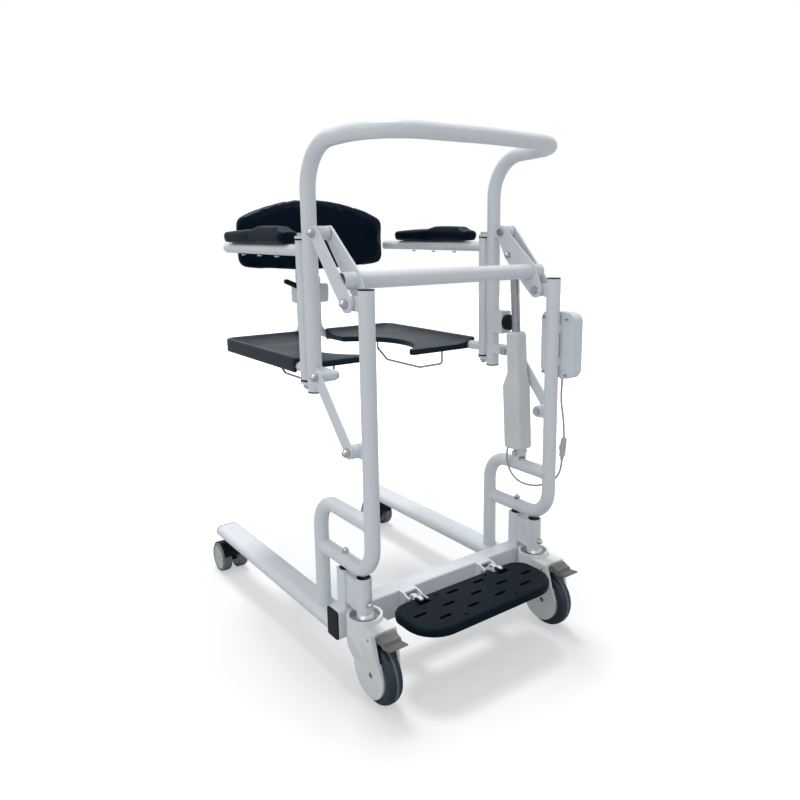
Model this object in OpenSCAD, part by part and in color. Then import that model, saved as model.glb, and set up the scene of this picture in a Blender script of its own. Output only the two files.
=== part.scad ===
// Sit to stand lift with a split swing-away seat. Millimetres, +Z up.
// The front, with the footplate and the braked casters, faces -Y. Both sides are alike
// except for the actuator, the control box and the lead, which are on the +X side.
// The pieces are drawn about the masts (Y = 0) and the middle plane (X = 0). place() then
// moves them all, so that the origin is on the floor in the middle of the whole lift.

/* [Base frame] */
// Distance between the two masts, centre to centre
mast_gap = 470; // [450:1:500]
// Height of the tops of the masts above the floor
mast_top = 792; // [785:1:820]
// Outside diameter of the mast, loop and upright tubes
tube_d = 30; // [28:0.5:32]
// Wall of the round frame tubes
tube_wall = 2; // [1.5:0.1:3]
// Width of the flat-oval leg tubes
leg_w = 60; // [52:1:70]
// Height of the flat-oval leg tubes
leg_h = 30; // [26:1:30]
// Height of the underside of the legs above the floor
leg_base = 92; // [90:1:98]
// Distance from the masts back to the ends of the legs
leg_rear = 726; // [690:1:760]
// Length of the crossbeam
beam_w = 535; // [530:1:560]
// Depth of the crossbeam, front to back
beam_d = 40; // [36:1:44]
// Height of the crossbeam tube
beam_h = 60; // [54:1:66]
// Height of the top of the crossbeam above the floor
beam_top = 158; // [155:1:162]
// Distance from the masts back to the middle of the crossbeam
beam_y = 100; // [96:1:104]
// Wall of the crossbeam and the leg tubes
beam_wall = 3; // [2:0.1:4]

/* [Side loops] */
// Height of the lower tube of the side loop
loop_low = 254; // [250:1:262]
// Height of the upper tube of the side loop
loop_high = 356; // [350:1:364]
// Bend radius of the side loop
loop_r = 60; // [50:1:68]
// Distance from the masts back to the rear posts
post_y = 197; // [190:1:205]
// Side of the square posts that stand on the crossbeam
square_post = 30; // [26:1:32]
// Outside diameter of the front caster sockets
socket_d = 32; // [30:1:36]
// Top of the front caster sockets
socket_top = 239; // [232:1:246]
// Distance from the masts back to the front caster sockets
socket_y = 40; // [37:1:43]
// Distance that each front caster stands in from its mast
socket_inset = 3; // [0:1:6]

/* [Front casters] */
// Diameter of the front wheels
front_wheel_d = 125; // [120:1:128]
// Width of the front wheels
front_wheel_w = 32; // [28:1:34]
// Distance from the swivel axis to the front axle
front_trail = 50; // [44:1:54]
// Outside diameter of the swivel head
head_d = 71; // [68:1:76]
// Top of the swivel head above the floor
head_top = 161.5; // [158:0.5:164]
// Thickness of the fork cheeks beside the wheel
cheek = 3.5; // [3:0.1:5]
// Width of the brake pedals
pedal_w = 38; // [32:1:44]

/* [Rear casters] */
// Diameter of the rear twin wheels
rear_wheel_d = 76; // [70:1:80]
// Width of one rear wheel
rear_wheel_w = 24; // [20:1:26]
// Distance from the swivel axis to the rear axle
rear_trail = 20; // [16:1:24]
// Distance from the masts back to the rear swivels
rear_swivel_y = 700; // [668:1:706]
// Width of the web between the twin wheels
twin_gap = 18; // [14:1:22]

/* [Footplate] */
// Width of the footplate
foot_w = 364; // [330:1:380]
// Distance from the masts forward to the front edge of the footplate
foot_front = 98; // [80:1:110]
// Distance from the masts back to the rear edge of the footplate
foot_rear = 38; // [30:1:40]
// Height of the top of the footplate
foot_top = 156; // [150:1:158]
// Thickness of the footplate
foot_t = 18; // [14:1:22]
// Distance between the two footplate brackets
foot_bracket_gap = 208; // [180:2:240]
// Distance between neighbouring drain slots
slot_pitch = 72; // [60:1:76]
// Length of a drain slot
slot_len = 30; // [20:1:36]

/* [Lift linkage] */
// Height of the upper mast pivots
pivot_z = 767; // [758:1:770]
// Distance of the upper mast pivots behind the masts
pivot_y = 38; // [36:1:42]
// Height of the lower mast pivots
low_pivot_z = 497; // [485:1:510]
// Distance of the lower mast pivots behind the masts
low_pivot_y = 30; // [30:1:36]
// Run of the links from front to rear pivot
link_run = 110; // [105:1:115]
// Rise of the links from front to rear pivot
link_rise = 123; // [118:1:128]
// Thickness of the link plates
link_t = 5; // [4:0.5:6]
// Gap between the two plates of a link
link_gap = 27; // [26:0.5:29]
// Diameter of the pivot bolts
bolt_d = 10; // [8:0.5:12]
// Diameter of the cross tube that joins both links
cross_d = 32; // [28:0.5:34]

/* [Lift frame] */
// Distance between the two uprights, centre to centre
upright_gap = 475; // [470:1:480]
// Distance from the masts back to the uprights
upright_y = 194; // [192:1:200]
// How far the uprights reach below the lower hinge plates
upright_foot = 10.5; // [8:0.5:16]
// Height of the push bar
bar_z = 1061; // [1040:1:1090]
// Reach of the push bar in front of the masts
bar_reach = 32; // [10:1:50]
// Extra reach of the middle of the push bar
bar_bow = 17; // [0:1:25]

/* [Seat and arms] */
// Distance from the uprights back to the seat hinges
hinge_back = 33; // [32:1:38]
// Diameter of the seat hinge tubes
hinge_d = 25; // [24:0.5:28]
// Lower end of the seat hinge tubes
hinge_low = 600; // [598:1:603]
// Upper end of the seat hinge tubes
hinge_high = 876; // [872:1:890]
// Diameter of the arm tubes
arm_d = 23; // [21:0.5:24]
// Height of the arm tubes
arm_z = 857; // [850:1:860]
// Distance from the masts back to the rear tubes
rear_y = 660; // [645:1:680]
// Bend radius of the arm tubes
arm_r = 80; // [70:1:90]
// Diameter of the seat and column tubes
seat_tube_d = 22; // [20:0.5:23]
// Height of the seat tubes
seat_tube_z = 620; // [619:0.5:622]
// Bend radius of the seat and column tubes
seat_r = 34; // [30:1:40]
// Distance of each column tube from the middle plane
column_x = 23.5; // [22:0.5:30]
// Outer half width of the seat
seat_half = 245; // [243:1:250]
// Distance from the masts back to the front edge of the seat
seat_front = 262; // [258:1:270]
// Thickness of the seat pan
seat_t = 14; // [12:0.5:15]
// Height of the raised rim above the seat pan
rim_h = 13; // [11:0.5:16]
// Half width of the opening in the middle of the seat
cutout_half = 125; // [100:1:135]
// Length of the opening in the middle of the seat
cutout_len = 290; // [250:1:300]
// Width of an arm pad
pad_w = 50; // [44:1:60]
// Length of an arm pad
pad_len = 308; // [280:1:315]
// Thickness of an arm pad
pad_t = 28; // [24:1:34]
// Width of the backrest
back_w = 414; // [380:1:418]
// Thickness of the backrest
back_t = 30; // [24:1:34]
// How far the backrest sits off the middle plane, towards the left
back_shift = 8; // [0:1:12]
// Lower edge of the backrest in the middle
back_low = 790; // [784:1:800]
// Upper edge of the backrest in the middle
back_high = 980; // [960:1:1000]
// Diameter of the bedpan rail wire
wire_d = 5; // [4:0.5:6]
// Distance of each bedpan rail from the middle plane
rail_x = 148; // [142:1:156]

/* [Actuator] */
// Height of the lower actuator pin
act_pin_z = 385; // [383:1:390]
// Distance from the masts back to the lower actuator pin
act_pin_y = 95; // [92:1:98]
// Length of the lower, wider part of the actuator
motor_len = 150; // [130:1:165]
// Top of the actuator housing, measured from the lower pin
housing_len = 283; // [270:1:284]
// Diameter of the actuator rod
rod_d = 20; // [18:0.5:22]
// Width of the lower part of the actuator
motor_w = 46; // [42:1:47]
// Width of the upper part of the actuator
neck_w = 38; // [34:1:42]

/* [Control box] */
// Height of the control box
box_h = 144; // [120:1:150]
// Length of the control box, front to back
box_l = 95; // [80:1:110]
// Depth of the control box, away from the mast
box_t = 34; // [28:1:40]
// Lower end of the control box
box_low = 577; // [570:1:585]

/* [Hidden] */
$fn = 64;
// Diameter of the lead
lead_d = 4.5;
// Radial clearance of a pin that turns in its bore
fit = 0.05;
// Gap between pieces that move past each other
gap = 0.5;
// How proud the skin of a tube bend is, and how deep a straight seats in it
proud = 0.1;
bite = 0.06;

// Pins and bolts of the frame
frame_bolt_d = 8;
stem_pin_d = 16;
axle_d = 12;
pedal_pin_d = 6;
rear_stem_d = 11;
// Black plastic end plugs
plug_t = 3;
plug_grip = 12;

base_x = mast_gap / 2;
tube_r = tube_d / 2;
tube_bore = tube_d - 2 * tube_wall;
leg_top = leg_base + leg_h;
leg_mid = leg_base + leg_h / 2;
beam_mid = beam_top - beam_h / 2;
beam_back = beam_y + beam_d / 2;
beam_front = beam_y - beam_d / 2;
socket_x = base_x - socket_inset;
socket_bolt_z = head_top + 26;
// The square post ends just under the loop tube, on a thin pad
post_top = loop_low - tube_r - 1.5;

// Front casters: bridge between the cheeks, axle and pedal pin
bridge_z = head_top - 11.5;
front_axle_y = socket_y - front_trail;
front_r = front_wheel_d / 2;
front_axle = [front_axle_y, front_r];
cheek_in = front_wheel_w / 2 + 1;
cheek_out = cheek_in + cheek;
nose_half = 29;
nose_roof = 5;
pedal_pin = [socket_y - head_d / 2 - 20, bridge_z - 9];

// Rear casters
rear_axle_y = rear_swivel_y + rear_trail;
rear_r = rear_wheel_d / 2;
rear_axle_at = [rear_axle_y, rear_r];
rear_boss_low = rear_wheel_d - 9;
twin_in = twin_gap / 2 + 1;

// Footplate brackets, straps and pins
foot_bracket_w = 38;
foot_strap_w = foot_bracket_w - 9;
foot_strap_t = 3;
foot_strap_grip = 18;
foot_pin = [beam_front - 28, beam_top - 12];

// Linkage: the plates stand either side of the mast plane, the lower links outside it
link_x = base_x + 1;
plate_in = link_gap / 2;
plate_out = link_gap / 2 + link_t;
low_link_t = 5;
// The lower link passes just outside the actuator
low_link_x = base_x + motor_w / 2 + gap + low_link_t / 2;
lug_half = 12;
lug_d = 26;
low_lug_d = 22;
pivot = [pivot_y, pivot_z];
low_pivot = [low_pivot_y, low_pivot_z];
link_vector = [link_run, link_rise];
cross_at = pivot + [20, 39];
rod_pin = pivot + [84, 73];

// Lift frame
upright_x = upright_gap / 2;
bar_bend = 105;
upright_bend = 90;
hinge_plate_t = 5;
washer_t = 3;
hinge_x = upright_x + 0.5;
hinge_y = upright_y + hinge_back;
hinge_top_z = hinge_high + gap + washer_t;
hinge_foot_z = hinge_low - gap - washer_t - hinge_plate_t;
upright_low = hinge_foot_z - upright_foot;
stop_z = 685;
stop_w = 28;
stop_reach = 46;

// Seat and arms
pan_top = seat_tube_z + 5;
pan_low = pan_top - seat_t;
rim_top = pan_top + rim_h;
skirt_low = pan_low - 5;
seat_back = rear_y - seat_tube_d / 2 - gap;
side_tube_x = hinge_x - 8;
pad_front = seat_front + 8;
pad_low = arm_z + arm_d / 2;
back_y = rear_y - 40;
back_boss_x = 134;
column_top = back_low - 15;
latch_low = 709;
latch_high = 758;
// Reach of the plain latch and of the wider one beyond the column
latch_side = 17.5;
latch_wide_side = 27.5;
lever_pin = [-36, latch_high - 6];
rail_front = seat_front + 14;
rail_rear = seat_front + 296;
rail_low = pan_low - 53;

// Actuator: it leans from its lower pin towards the rod pin on the right link
act_pin = [act_pin_y, act_pin_z];
act_lean = atan2(rod_pin.x - act_pin.x, rod_pin.y - act_pin.y);
rod_len = norm(rod_pin - act_pin);
motor_low = 11;
// Lower end of the rod when it is run out, and of its bore
rod_tail = 210;
rod_bore_low = 60;
// Half width of the clevis, over its two 4 mm plates
clevis_out = 13.5;

// Control box and its push buttons
box_x = base_x + tube_r + 1;
box_mid_y = 0.5;
button_d = 10.6;
button_h = 6;
button_y = -24;
button_z = [box_low + 32, box_low + box_h - 33];
box_face = box_x + box_t;
// Where the lead leaves the box
lead_x = 268;
lead_y = -2;

// Middle of the whole lift: from the footplate to the rear wheels, from the link nuts to the buttons
origin_y = (rear_axle_y + rear_r - foot_front) / 2;
origin_x = (box_face + button_h - low_link_x - low_link_t / 2 - 1.3 * bolt_d) / 2;

// Rings for each point of the lead's route, and sides of the lead
lead_steps = 3;
lead_sides = 10;
// Route of the lead from the control box round the mast to the actuator
lead_route = [
  [268, -2, 573], [268, -2, 560], [268, -1, 545], [268, -1, 530], [267, -3, 515],
  [267, -6, 500], [266, -10, 485], [265, -13, 470], [264, -15, 455], [264, -16, 440],
  [263, -15, 425], [263, -14, 405], [262, -13, 385], [262, -11, 370], [262, -6, 355],
  [261, 2, 342], [258, 12, 332], [251, 21, 325], [240, 32, 320], [230, 46, 318],
  [222, 62, 319], [217, 80, 324], [214, 96, 335], [213, 107, 350], [213, 113, 366],
  [214, 115, 381], [215, 114, 394]
];

// ---- Helpers ----

function unit(v) = v / norm(v);
function turn(a, b, c) = acos(unit(b - a) * unit(c - b));

// Length that the bend at point i of a route takes off each straight
function setback(route, radii, i) =
  (i == 0 || i == len(route) - 1) ? 0
  : radii[i - 1] * tan(turn(route[i - 1], route[i], route[i + 1]) / 2);

// Origin on the floor in the middle of the lift
module place() {
  translate([-origin_x, -origin_y, 0]) children();
}

// Draws a right-hand piece on the right (s = 1) or mirrored on the left (s = -1)
module side(s) {
  mirror([s < 0 ? 1 : 0, 0, 0]) children();
}

module both() {
  for (s = [-1, 1]) side(s) children();
}

// Profile in Y and Z, drawn out along X
module along_x(x0, x1) {
  translate([x0, 0, 0]) rotate([90, 0, 90]) linear_extrude(x1 - x0) children();
}

// Profile in X and Z, drawn out along Y
module along_y(y0, y1) {
  translate([0, y1, 0]) rotate([90, 0, 0]) linear_extrude(y1 - y0) children();
}

// Round bar along X; at = [y, z]
module bar_x(at, x0, x1, d) {
  translate([x0, at.x, at.y]) rotate([0, 90, 0]) cylinder(h = x1 - x0, d = d);
}

// Round bar along Y; at = [x, z]
module bar_y(at, y0, y1, d) {
  translate([at.x, y1, at.y]) rotate([90, 0, 0]) cylinder(h = y1 - y0, d = d);
}

// Upright round bar
module bar_z(x, y, z0, z1, d) {
  translate([x, y, z0]) cylinder(h = z1 - z0, d = d);
}

module disc_at(at, d) {
  translate(at) circle(d = d);
}

module flat_oval(w, h) {
  square([w - h, h], center = true);
  for (s = [-1, 1]) translate([s * (w - h) / 2, 0]) circle(d = h);
}

module round_rect(w, h, r) {
  square([w - 2 * r, h], center = true);
  square([w, h - 2 * r], center = true);
  for (a = [-1, 1], b = [-1, 1]) translate([a * (w / 2 - r), b * (h / 2 - r)]) circle(r = r);
}

module ring_profile(d, wall) {
  difference() {
    circle(d = d);
    if (wall > 0) circle(d = d - 2 * wall);
  }
}

module straight_run(a, b, d, wall) {
  v = b - a;
  length = norm(v);
  translate(a)
    rotate([0, acos(v.z / length), atan2(v.y, v.x)])
      linear_extrude(length) ring_profile(d, wall);
}

// Bend at a corner; its skin is a hair proud, so that the straights seat in its ends
module bend_run(a, corner, b, r, d, wall) {
  u = unit(corner - a);
  v = unit(b - corner);
  angle = acos(u * v);
  n = unit(v - u * (u * v));
  c = corner - u * r * tan(angle / 2) + n * r;
  w = cross(-n, u);
  multmatrix([
    [-n.x, u.x, w.x, c.x],
    [-n.y, u.y, w.y, c.y],
    [-n.z, u.z, w.z, c.z],
    [0, 0, 0, 1]
  ])
    rotate_extrude(angle = angle)
      translate([r, 0]) ring_profile(d + 2 * proud, wall > 0 ? wall + 2 * proud : 0);
}

// Tube along a route of straight runs, with a bend at every inner point
module bent_tube(route, radii, d, wall = 0) {
  last = len(route) - 1;
  for (i = [1 : 1 : last - 1])
    bend_run(route[i - 1], route[i], route[i + 1], radii[i - 1], d, wall);
  for (i = [0 : last - 1]) {
    u = unit(route[i + 1] - route[i]);
    a = route[i] + u * (setback(route, radii, i) - (i > 0 ? bite : 0));
    b = route[i + 1] - u * (setback(route, radii, i + 1) - (i + 1 < last ? bite : 0));
    straight_run(a, b, d, wall);
  }
}

// Hexagon bolt head of a given thread size, standing on Z = 0
module hex_head(d) {
  cylinder(h = 0.6 * d, d = 1.8 * d, $fn = 6);
}

// Domed nut standing on Z = 0
module dome_nut(d) {
  cylinder(h = 0.7 * d, d = 1.8 * d, $fn = 6);
  translate([0, 0, 0.6 * d]) sphere(d = 1.4 * d);
}

// Bolt along X from its head at x0 to its domed nut at x1
module bolt_x(at, x0, x1, d) {
  bar_x(at, x0, x1, d);
  translate([x0, at.x, at.y]) rotate([0, -90, 0]) hex_head(d);
  translate([x1, at.x, at.y]) rotate([0, 90, 0]) dome_nut(d);
}

// ---- Base ----

// Flat-oval leg from the crossbeam back to the rear caster
module leg() {
  color("white")
  difference() {
    translate([base_x, beam_back, leg_mid])
      rotate([-90, 0, 0])
        linear_extrude(leg_rear - beam_back)
          difference() {
            flat_oval(leg_w, leg_h);
            flat_oval(leg_w - 2 * beam_wall, leg_h - 2 * beam_wall);
          }
    bar_z(base_x, rear_swivel_y, leg_base - 1, leg_base + beam_wall + 1, rear_stem_d);
  }
}

// Crossbeam with the two footplate brackets welded to its front face
module crossbeam() {
  color("white") {
    along_x(-beam_w / 2, beam_w / 2)
      translate([beam_y, beam_mid])
        difference() {
          round_rect(beam_d, beam_h, 5);
          round_rect(beam_d - 2 * beam_wall, beam_h - 2 * beam_wall, 2.5);
        }
    for (s = [-1, 1]) translate([s * foot_bracket_gap / 2, 0, 0]) foot_bracket();
  }
}

// Channel that carries the footplate pin: two cheeks under a short roof
module foot_bracket() {
  difference() {
    union() {
      for (s = [-1, 1])
        along_x(s * (foot_bracket_w / 2 - 2) - 2, s * (foot_bracket_w / 2 - 2) + 2)
          polygon([
            [beam_front + 2, beam_top], [foot_pin.x + 12, beam_top],
            [foot_pin.x - 7, beam_top - 6], [foot_pin.x - 7, beam_top - 19],
            [beam_front + 1, beam_top - 40]
          ]);
      translate([-foot_bracket_w / 2, foot_pin.x + 14, beam_top - 4])
        cube([foot_bracket_w, beam_front - foot_pin.x - 12, 4]);
    }
    bar_x(foot_pin, -foot_bracket_w, foot_bracket_w, frame_bolt_d);
  }
}

// Black plastic plugs and pads that close the tube ends
module black_plugs() {
  color("black")
  both() {
    along_x(beam_w / 2, beam_w / 2 + plug_t)
      translate([beam_y, beam_mid]) round_rect(beam_d, beam_h, 5);
    along_x(beam_w / 2 - plug_grip, beam_w / 2)
      translate([beam_y, beam_mid])
        round_rect(beam_d - 2 * beam_wall, beam_h - 2 * beam_wall, 2.5);
    bar_z(base_x, 0, mast_top, mast_top + 2, tube_d);
    bar_z(base_x, 0, mast_top - plug_grip, mast_top, tube_bore);
    translate([base_x, leg_rear, leg_mid])
      rotate([-90, 0, 0]) linear_extrude(plug_t) flat_oval(leg_w, leg_h);
    translate([base_x, leg_rear - 8, leg_mid])
      rotate([-90, 0, 0])
        linear_extrude(8) flat_oval(leg_w - 2 * beam_wall, leg_h - 2 * beam_wall);
    bar_z(socket_x, socket_y, socket_top - 8, socket_top - 3, socket_d - 4);
    saddle_pad();
  }
}

// Thin pad between the square post and the loop tube that rests on it
module saddle_pad() {
  difference() {
    bar_z(base_x, beam_y, post_top, loop_low - tube_r, square_post - 4);
    bar_z(base_x, beam_y, loop_low - tube_d, loop_low, frame_bolt_d);
  }
}

// Lug behind a mast, bored for a pivot bolt
module mast_lug(at, x1) {
  difference() {
    union() {
      bar_x(at, link_x - lug_half, x1, lug_d);
      along_x(link_x - 9, link_x + 9)
        translate([8, at.y - lug_d / 2]) square([at.x - 8, lug_d]);
    }
    bar_z(base_x, 0, at.y - 20, at.y + 20, tube_bore);
    bar_x(at, link_x - 20, x1 + 1, bolt_d + 2 * fit);
  }
}

// Mast, bent at its foot into the lower tube of the side loop
module mast() {
  color("white") {
    difference() {
      bent_tube(
        [[base_x, 0, mast_top], [base_x, 0, loop_low], [base_x, post_y, loop_low]],
        [loop_r], tube_d, tube_wall
      );
      bar_z(base_x, post_y, loop_low - tube_d, loop_low + tube_d, tube_d);
      bar_z(base_x, beam_y, loop_low - tube_d, loop_low + tube_d, frame_bolt_d);
    }
    mast_lug(pivot, link_x + lug_half);
    mast_lug(low_pivot, low_link_x - low_link_t / 2 - gap);
  }
}

// Rear post, bent at its top into the upper tube of the side loop
module rear_post() {
  color("white")
  difference() {
    union() {
      bent_tube(
        [[base_x, post_y, leg_top], [base_x, post_y, loop_high], [base_x, 0, loop_high]],
        [loop_r], tube_d, tube_wall
      );
      difference() {
        bar_z(base_x, post_y, leg_top, leg_top + 3, tube_d + 5);
        bar_z(base_x, post_y, leg_top - 1, leg_top + 4, tube_bore);
      }
    }
    bar_z(base_x, 0, loop_high - tube_d, loop_high + tube_d, tube_d);
  }
}

// Square post, gusset box and round socket for the front caster, in one weldment
module caster_post() {
  gusset_w = 22;
  color("white")
  difference() {
    union() {
      translate([base_x, beam_y, beam_top])
        linear_extrude(post_top - beam_top) round_rect(square_post, square_post, 4);
      bar_z(socket_x, socket_y, head_top + 1.5, socket_top, socket_d);
      along_x(socket_x - gusset_w / 2 + 1.5, socket_x + gusset_w / 2 + 1.5)
        polygon([
          [socket_y, head_top + 4], [beam_y - 8, head_top + 10],
          [beam_y - 8, post_top - 4], [socket_y, socket_top - 9]
        ]);
    }
    translate([base_x, beam_y, beam_top - 1])
      linear_extrude(post_top - beam_top - 3) round_rect(square_post - 5, square_post - 5, 2);
    bar_z(base_x, beam_y, post_top - 10, post_top + 1, frame_bolt_d);
    bar_z(socket_x, socket_y, head_top, socket_top + 1, socket_d - 4);
    bar_y([socket_x, socket_bolt_z], socket_y - socket_d, socket_y + socket_d, frame_bolt_d);
  }
}

// Bolts of the base, the two footplate pins and the lower pin of the actuator
module frame_bolts() {
  color("silver") {
    both() {
      bar_z(base_x, beam_y, post_top - 16, loop_low + tube_r + 1, frame_bolt_d);
      translate([base_x, beam_y, loop_low + tube_r]) dome_nut(frame_bolt_d);
      bar_y([socket_x, socket_bolt_z], socket_y - socket_d / 2, socket_y + socket_d / 2, frame_bolt_d);
      translate([socket_x, socket_y - socket_d / 2, socket_bolt_z])
        rotate([90, 0, 0]) dome_nut(frame_bolt_d);
    }
    for (s = [-1, 1]) {
      x = s * foot_bracket_gap / 2;
      bar_x(foot_pin, x - foot_bracket_w / 2 - 2, x + foot_bracket_w / 2 + 2, frame_bolt_d);
    }
    bolt_x(act_pin, base_x - clevis_out, base_x + clevis_out, frame_bolt_d);
  }
}

// Clevis on the right loop that holds the lower end of the actuator
module actuator_bracket() {
  top = loop_high + tube_r;
  color("white")
  difference() {
    for (s = [-1, 1])
      along_x(base_x + s * (clevis_out - 2) - 2, base_x + s * (clevis_out - 2) + 2) {
        disc_at(act_pin, 18);
        translate([act_pin.x - 9, top - 6]) square([18, act_pin.y - top + 6]);
      }
    bar_y([base_x, loop_high], 20, act_pin.x + 40, tube_d);
    bar_x(act_pin, base_x - 20, base_x + 20, frame_bolt_d);
  }
}

// Rounded housing of the controls and the battery, saddled on the right mast
module control_box() {
  r = 20;
  saddle_z = [box_low + 25, box_low + box_h - 45];
  color("white")
  difference() {
    union() {
      hull()
        for (step = [[0, 0], [box_t - 10, 0], [box_t - 4, 3], [box_t - 1, 9]])
          along_x(box_x + step[0], box_x + step[0] + 1)
            translate([box_mid_y, box_low + box_h / 2])
              round_rect(box_l - 2 * step[1], box_h - 2 * step[1], r - step[1]);
      for (z = saddle_z)
        translate([base_x + 9, -10, z]) cube([box_x - base_x - 8, 20, 20]);
      bar_z(lead_x, lead_y, box_low - 6, box_low + 2, 10);
    }
    bar_z(base_x, 0, box_low - 10, box_low + box_h + 10, tube_d);
    bar_z(lead_x, lead_y, box_low - 7, box_low - 2, lead_d);
    for (z = button_z) bar_x([button_y, z], box_face - 6, box_face + 1, button_d + 0.4);
  }
}

// Domed push button in the outer face of the control box
module button(z) {
  r = button_d / 2;
  color("black")
  translate([box_face, button_y, z]) rotate([0, 90, 0])
    rotate_extrude()
      polygon([
        [0, -3], [r, -3], [r, button_h - 3], [r - 0.7, button_h - 1.2],
        [r - 2.3, button_h - 0.3], [0, button_h]
      ]);
}

// ---- Lead ----

function at_route(i) = lead_route[max(0, min(len(lead_route) - 1, i))];

// Smooth curve through the route, three rings for every point
function lead_point(i, t) =
  let (a = at_route(i - 1), b = at_route(i), c = at_route(i + 1), d = at_route(i + 2))
  0.5 * (2 * b + (c - a) * t + (2 * a - 5 * b + 4 * c - d) * t * t
    + (3 * b - a - 3 * c + d) * t * t * t);

lead_line = [
  for (i = [0 : len(lead_route) - 2], k = [0 : lead_steps - 1]) lead_point(i, k / lead_steps),
  lead_route[len(lead_route) - 1]
];

function lead_dir(i) =
  unit(lead_line[min(i + 1, len(lead_line) - 1)] - lead_line[max(i - 1, 0)]);

// Frames carried along the line without twist
function lead_frame(i, last) =
  let (t = lead_dir(i), flat = last - t * (last * t)) unit(flat);

function lead_normals(i, last) =
  i == len(lead_line) ? []
  : let (n = lead_frame(i, last)) concat([n], lead_normals(i + 1, n));

module lead() {
  normals = lead_normals(0, [1, 0, 0]);
  rings = len(lead_line);
  points = [
    for (i = [0 : rings - 1], k = [0 : lead_sides - 1])
      let (b = cross(lead_dir(i), normals[i]), a = 360 * k / lead_sides)
        lead_line[i] + lead_d / 2 * (cos(a) * normals[i] + sin(a) * b)
  ];
  walls = [
    for (i = [0 : rings - 2], k = [0 : lead_sides - 1])
      let (p = i * lead_sides + k, q = i * lead_sides + (k + 1) % lead_sides)
        [p, p + lead_sides, q + lead_sides, q]
  ];
  start = [for (k = [0 : lead_sides - 1]) k];
  end = [for (k = [lead_sides - 1 : -1 : 0]) (rings - 1) * lead_sides + k];
  color("gray") polyhedron(points, concat(walls, [start, end]), convexity = 6);
}

// Plug and socket in the lead, with a tapered boot at each end
module lead_connector() {
  top = [264, -16, 440];
  low = [262, -13, 385];
  along = unit(low - top);
  lean = acos(-along.z);
  heading = atan2(along.y, along.x);
  color("lightgray")
  translate(top) rotate([0, 180 - lean, heading]) {
    hull()
      for (z = [4, 30]) translate([0, 0, z]) linear_extrude(12) round_rect(12, 21, 4);
    cylinder(h = 6, d1 = 7, d2 = 9);
    translate([0, 0, 40]) cylinder(h = 15, d1 = 10, d2 = 6);
  }
}

// ---- Footplate ----

module foot_outline(inset) {
  rear_corner = 42;
  front_corner = (foot_front + foot_rear) / 2;
  hull()
    for (s = [-1, 1]) {
      translate([s * (foot_w / 2 - rear_corner), foot_rear - rear_corner])
        circle(r = rear_corner - inset);
      translate([s * (foot_w / 2 - front_corner), -foot_front + front_corner])
        circle(r = front_corner - inset);
    }
}

// Slots in three rows of four, five and four
module drain_slots() {
  row_gap = 34;
  for (row = [-1 : 1]) {
    count = row == 0 ? 5 : 4;
    for (i = [0 : count - 1])
      translate([(i - (count - 1) / 2) * slot_pitch, -(foot_front - foot_rear) / 2 + 6 - row * row_gap])
        flat_oval(slot_len, 8);
  }
}

// Moulded standing plate with rounded edges and drain slots
module footplate() {
  edge = 6;
  screw_x = 68;
  color("#20252b")
  difference() {
    hull()
      for (step = [[0, 3], [2, 0.8], [foot_t - edge - 1, 0], [foot_t - 3, 2], [foot_t - 0.6, edge]])
        translate([0, 0, foot_top - foot_t + step[0]]) linear_extrude(0.6) foot_outline(step[1]);
    translate([0, 0, foot_top - foot_t - 1]) linear_extrude(foot_t + 2) drain_slots();
    for (x = [-screw_x, screw_x], y = [foot_rear - 14, 24 - foot_front])
      bar_z(x, y, foot_top - 3, foot_top + 1, 8);
    for (s = [-1, 1])
      translate([
        s * foot_bracket_gap / 2 - foot_strap_w / 2 - gap, foot_rear - foot_strap_grip - gap,
        foot_top - foot_strap_t
      ])
        cube([foot_strap_w + 2 * gap, foot_strap_grip + gap + 1, foot_strap_t + 1]);
  }
}

// Steel straps, sunk into the footplate, that hang it on its two pins; a tail bears on the beam
module footplate_hinges() {
  strap_low = foot_top - foot_strap_t;
  tail_z = foot_pin.y - 12;
  color("silver")
  for (s = [-1, 1])
    translate([s * foot_bracket_gap / 2 - foot_strap_w / 2, 0, 0])
      difference() {
        along_x(0, foot_strap_w) {
          disc_at(foot_pin, 16);
          polygon([
            [foot_pin.x, foot_pin.y + 8], [foot_pin.x - 12, foot_top],
            [foot_rear - foot_strap_grip, foot_top], [foot_rear - foot_strap_grip, strap_low],
            [foot_rear + 1, strap_low], [foot_pin.x - 7, foot_pin.y]
          ]);
          translate([foot_pin.x, tail_z]) square([beam_front - foot_pin.x, 8]);
        }
        bar_x(foot_pin, -1, foot_strap_w + 1, frame_bolt_d + 2 * fit);
      }
}

// ---- Front casters ----

// All four caster stems: a rod in its socket, a bearing plate and a swivel pin
module caster_stems() {
  color("silver")
  both() {
    difference() {
      union() {
        bar_z(socket_x, socket_y, head_top - 3, socket_top - 20, socket_d - 4);
        bar_z(socket_x, socket_y, bridge_z + gap, head_top - 6, head_d - 11);
        bar_z(socket_x, socket_y, head_top - 6, head_top - 3, head_d - 29);
        bar_z(socket_x, socket_y, bridge_z - 20, bridge_z + gap, stem_pin_d);
      }
      bar_y([socket_x, socket_bolt_z], socket_y - socket_d, socket_y + socket_d, frame_bolt_d);
    }
    rear_stem();
  }
}

module rear_stem() {
  top = leg_base + beam_wall;
  bar_z(base_x, rear_swivel_y, rear_boss_low + 4, top + 1, rear_stem_d);
  bar_z(base_x, rear_swivel_y, top, top + 7, 18);
}

// Side outline of the fork: swivel head, nose over the wheel and round cheek
module fork_outline() {
  head_low = bridge_z - 32;
  nose_y = socket_y - head_d / 2 - 30.5;
  hull() {
    disc_at(front_axle + [8, 0], 2 * front_r - 25);
    translate([socket_y - head_d / 2, head_low]) square([head_d, bridge_z + 3 - head_low]);
    translate([nose_y, bridge_z - 12]) square([20, 11 + nose_roof]);
  }
}

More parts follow.
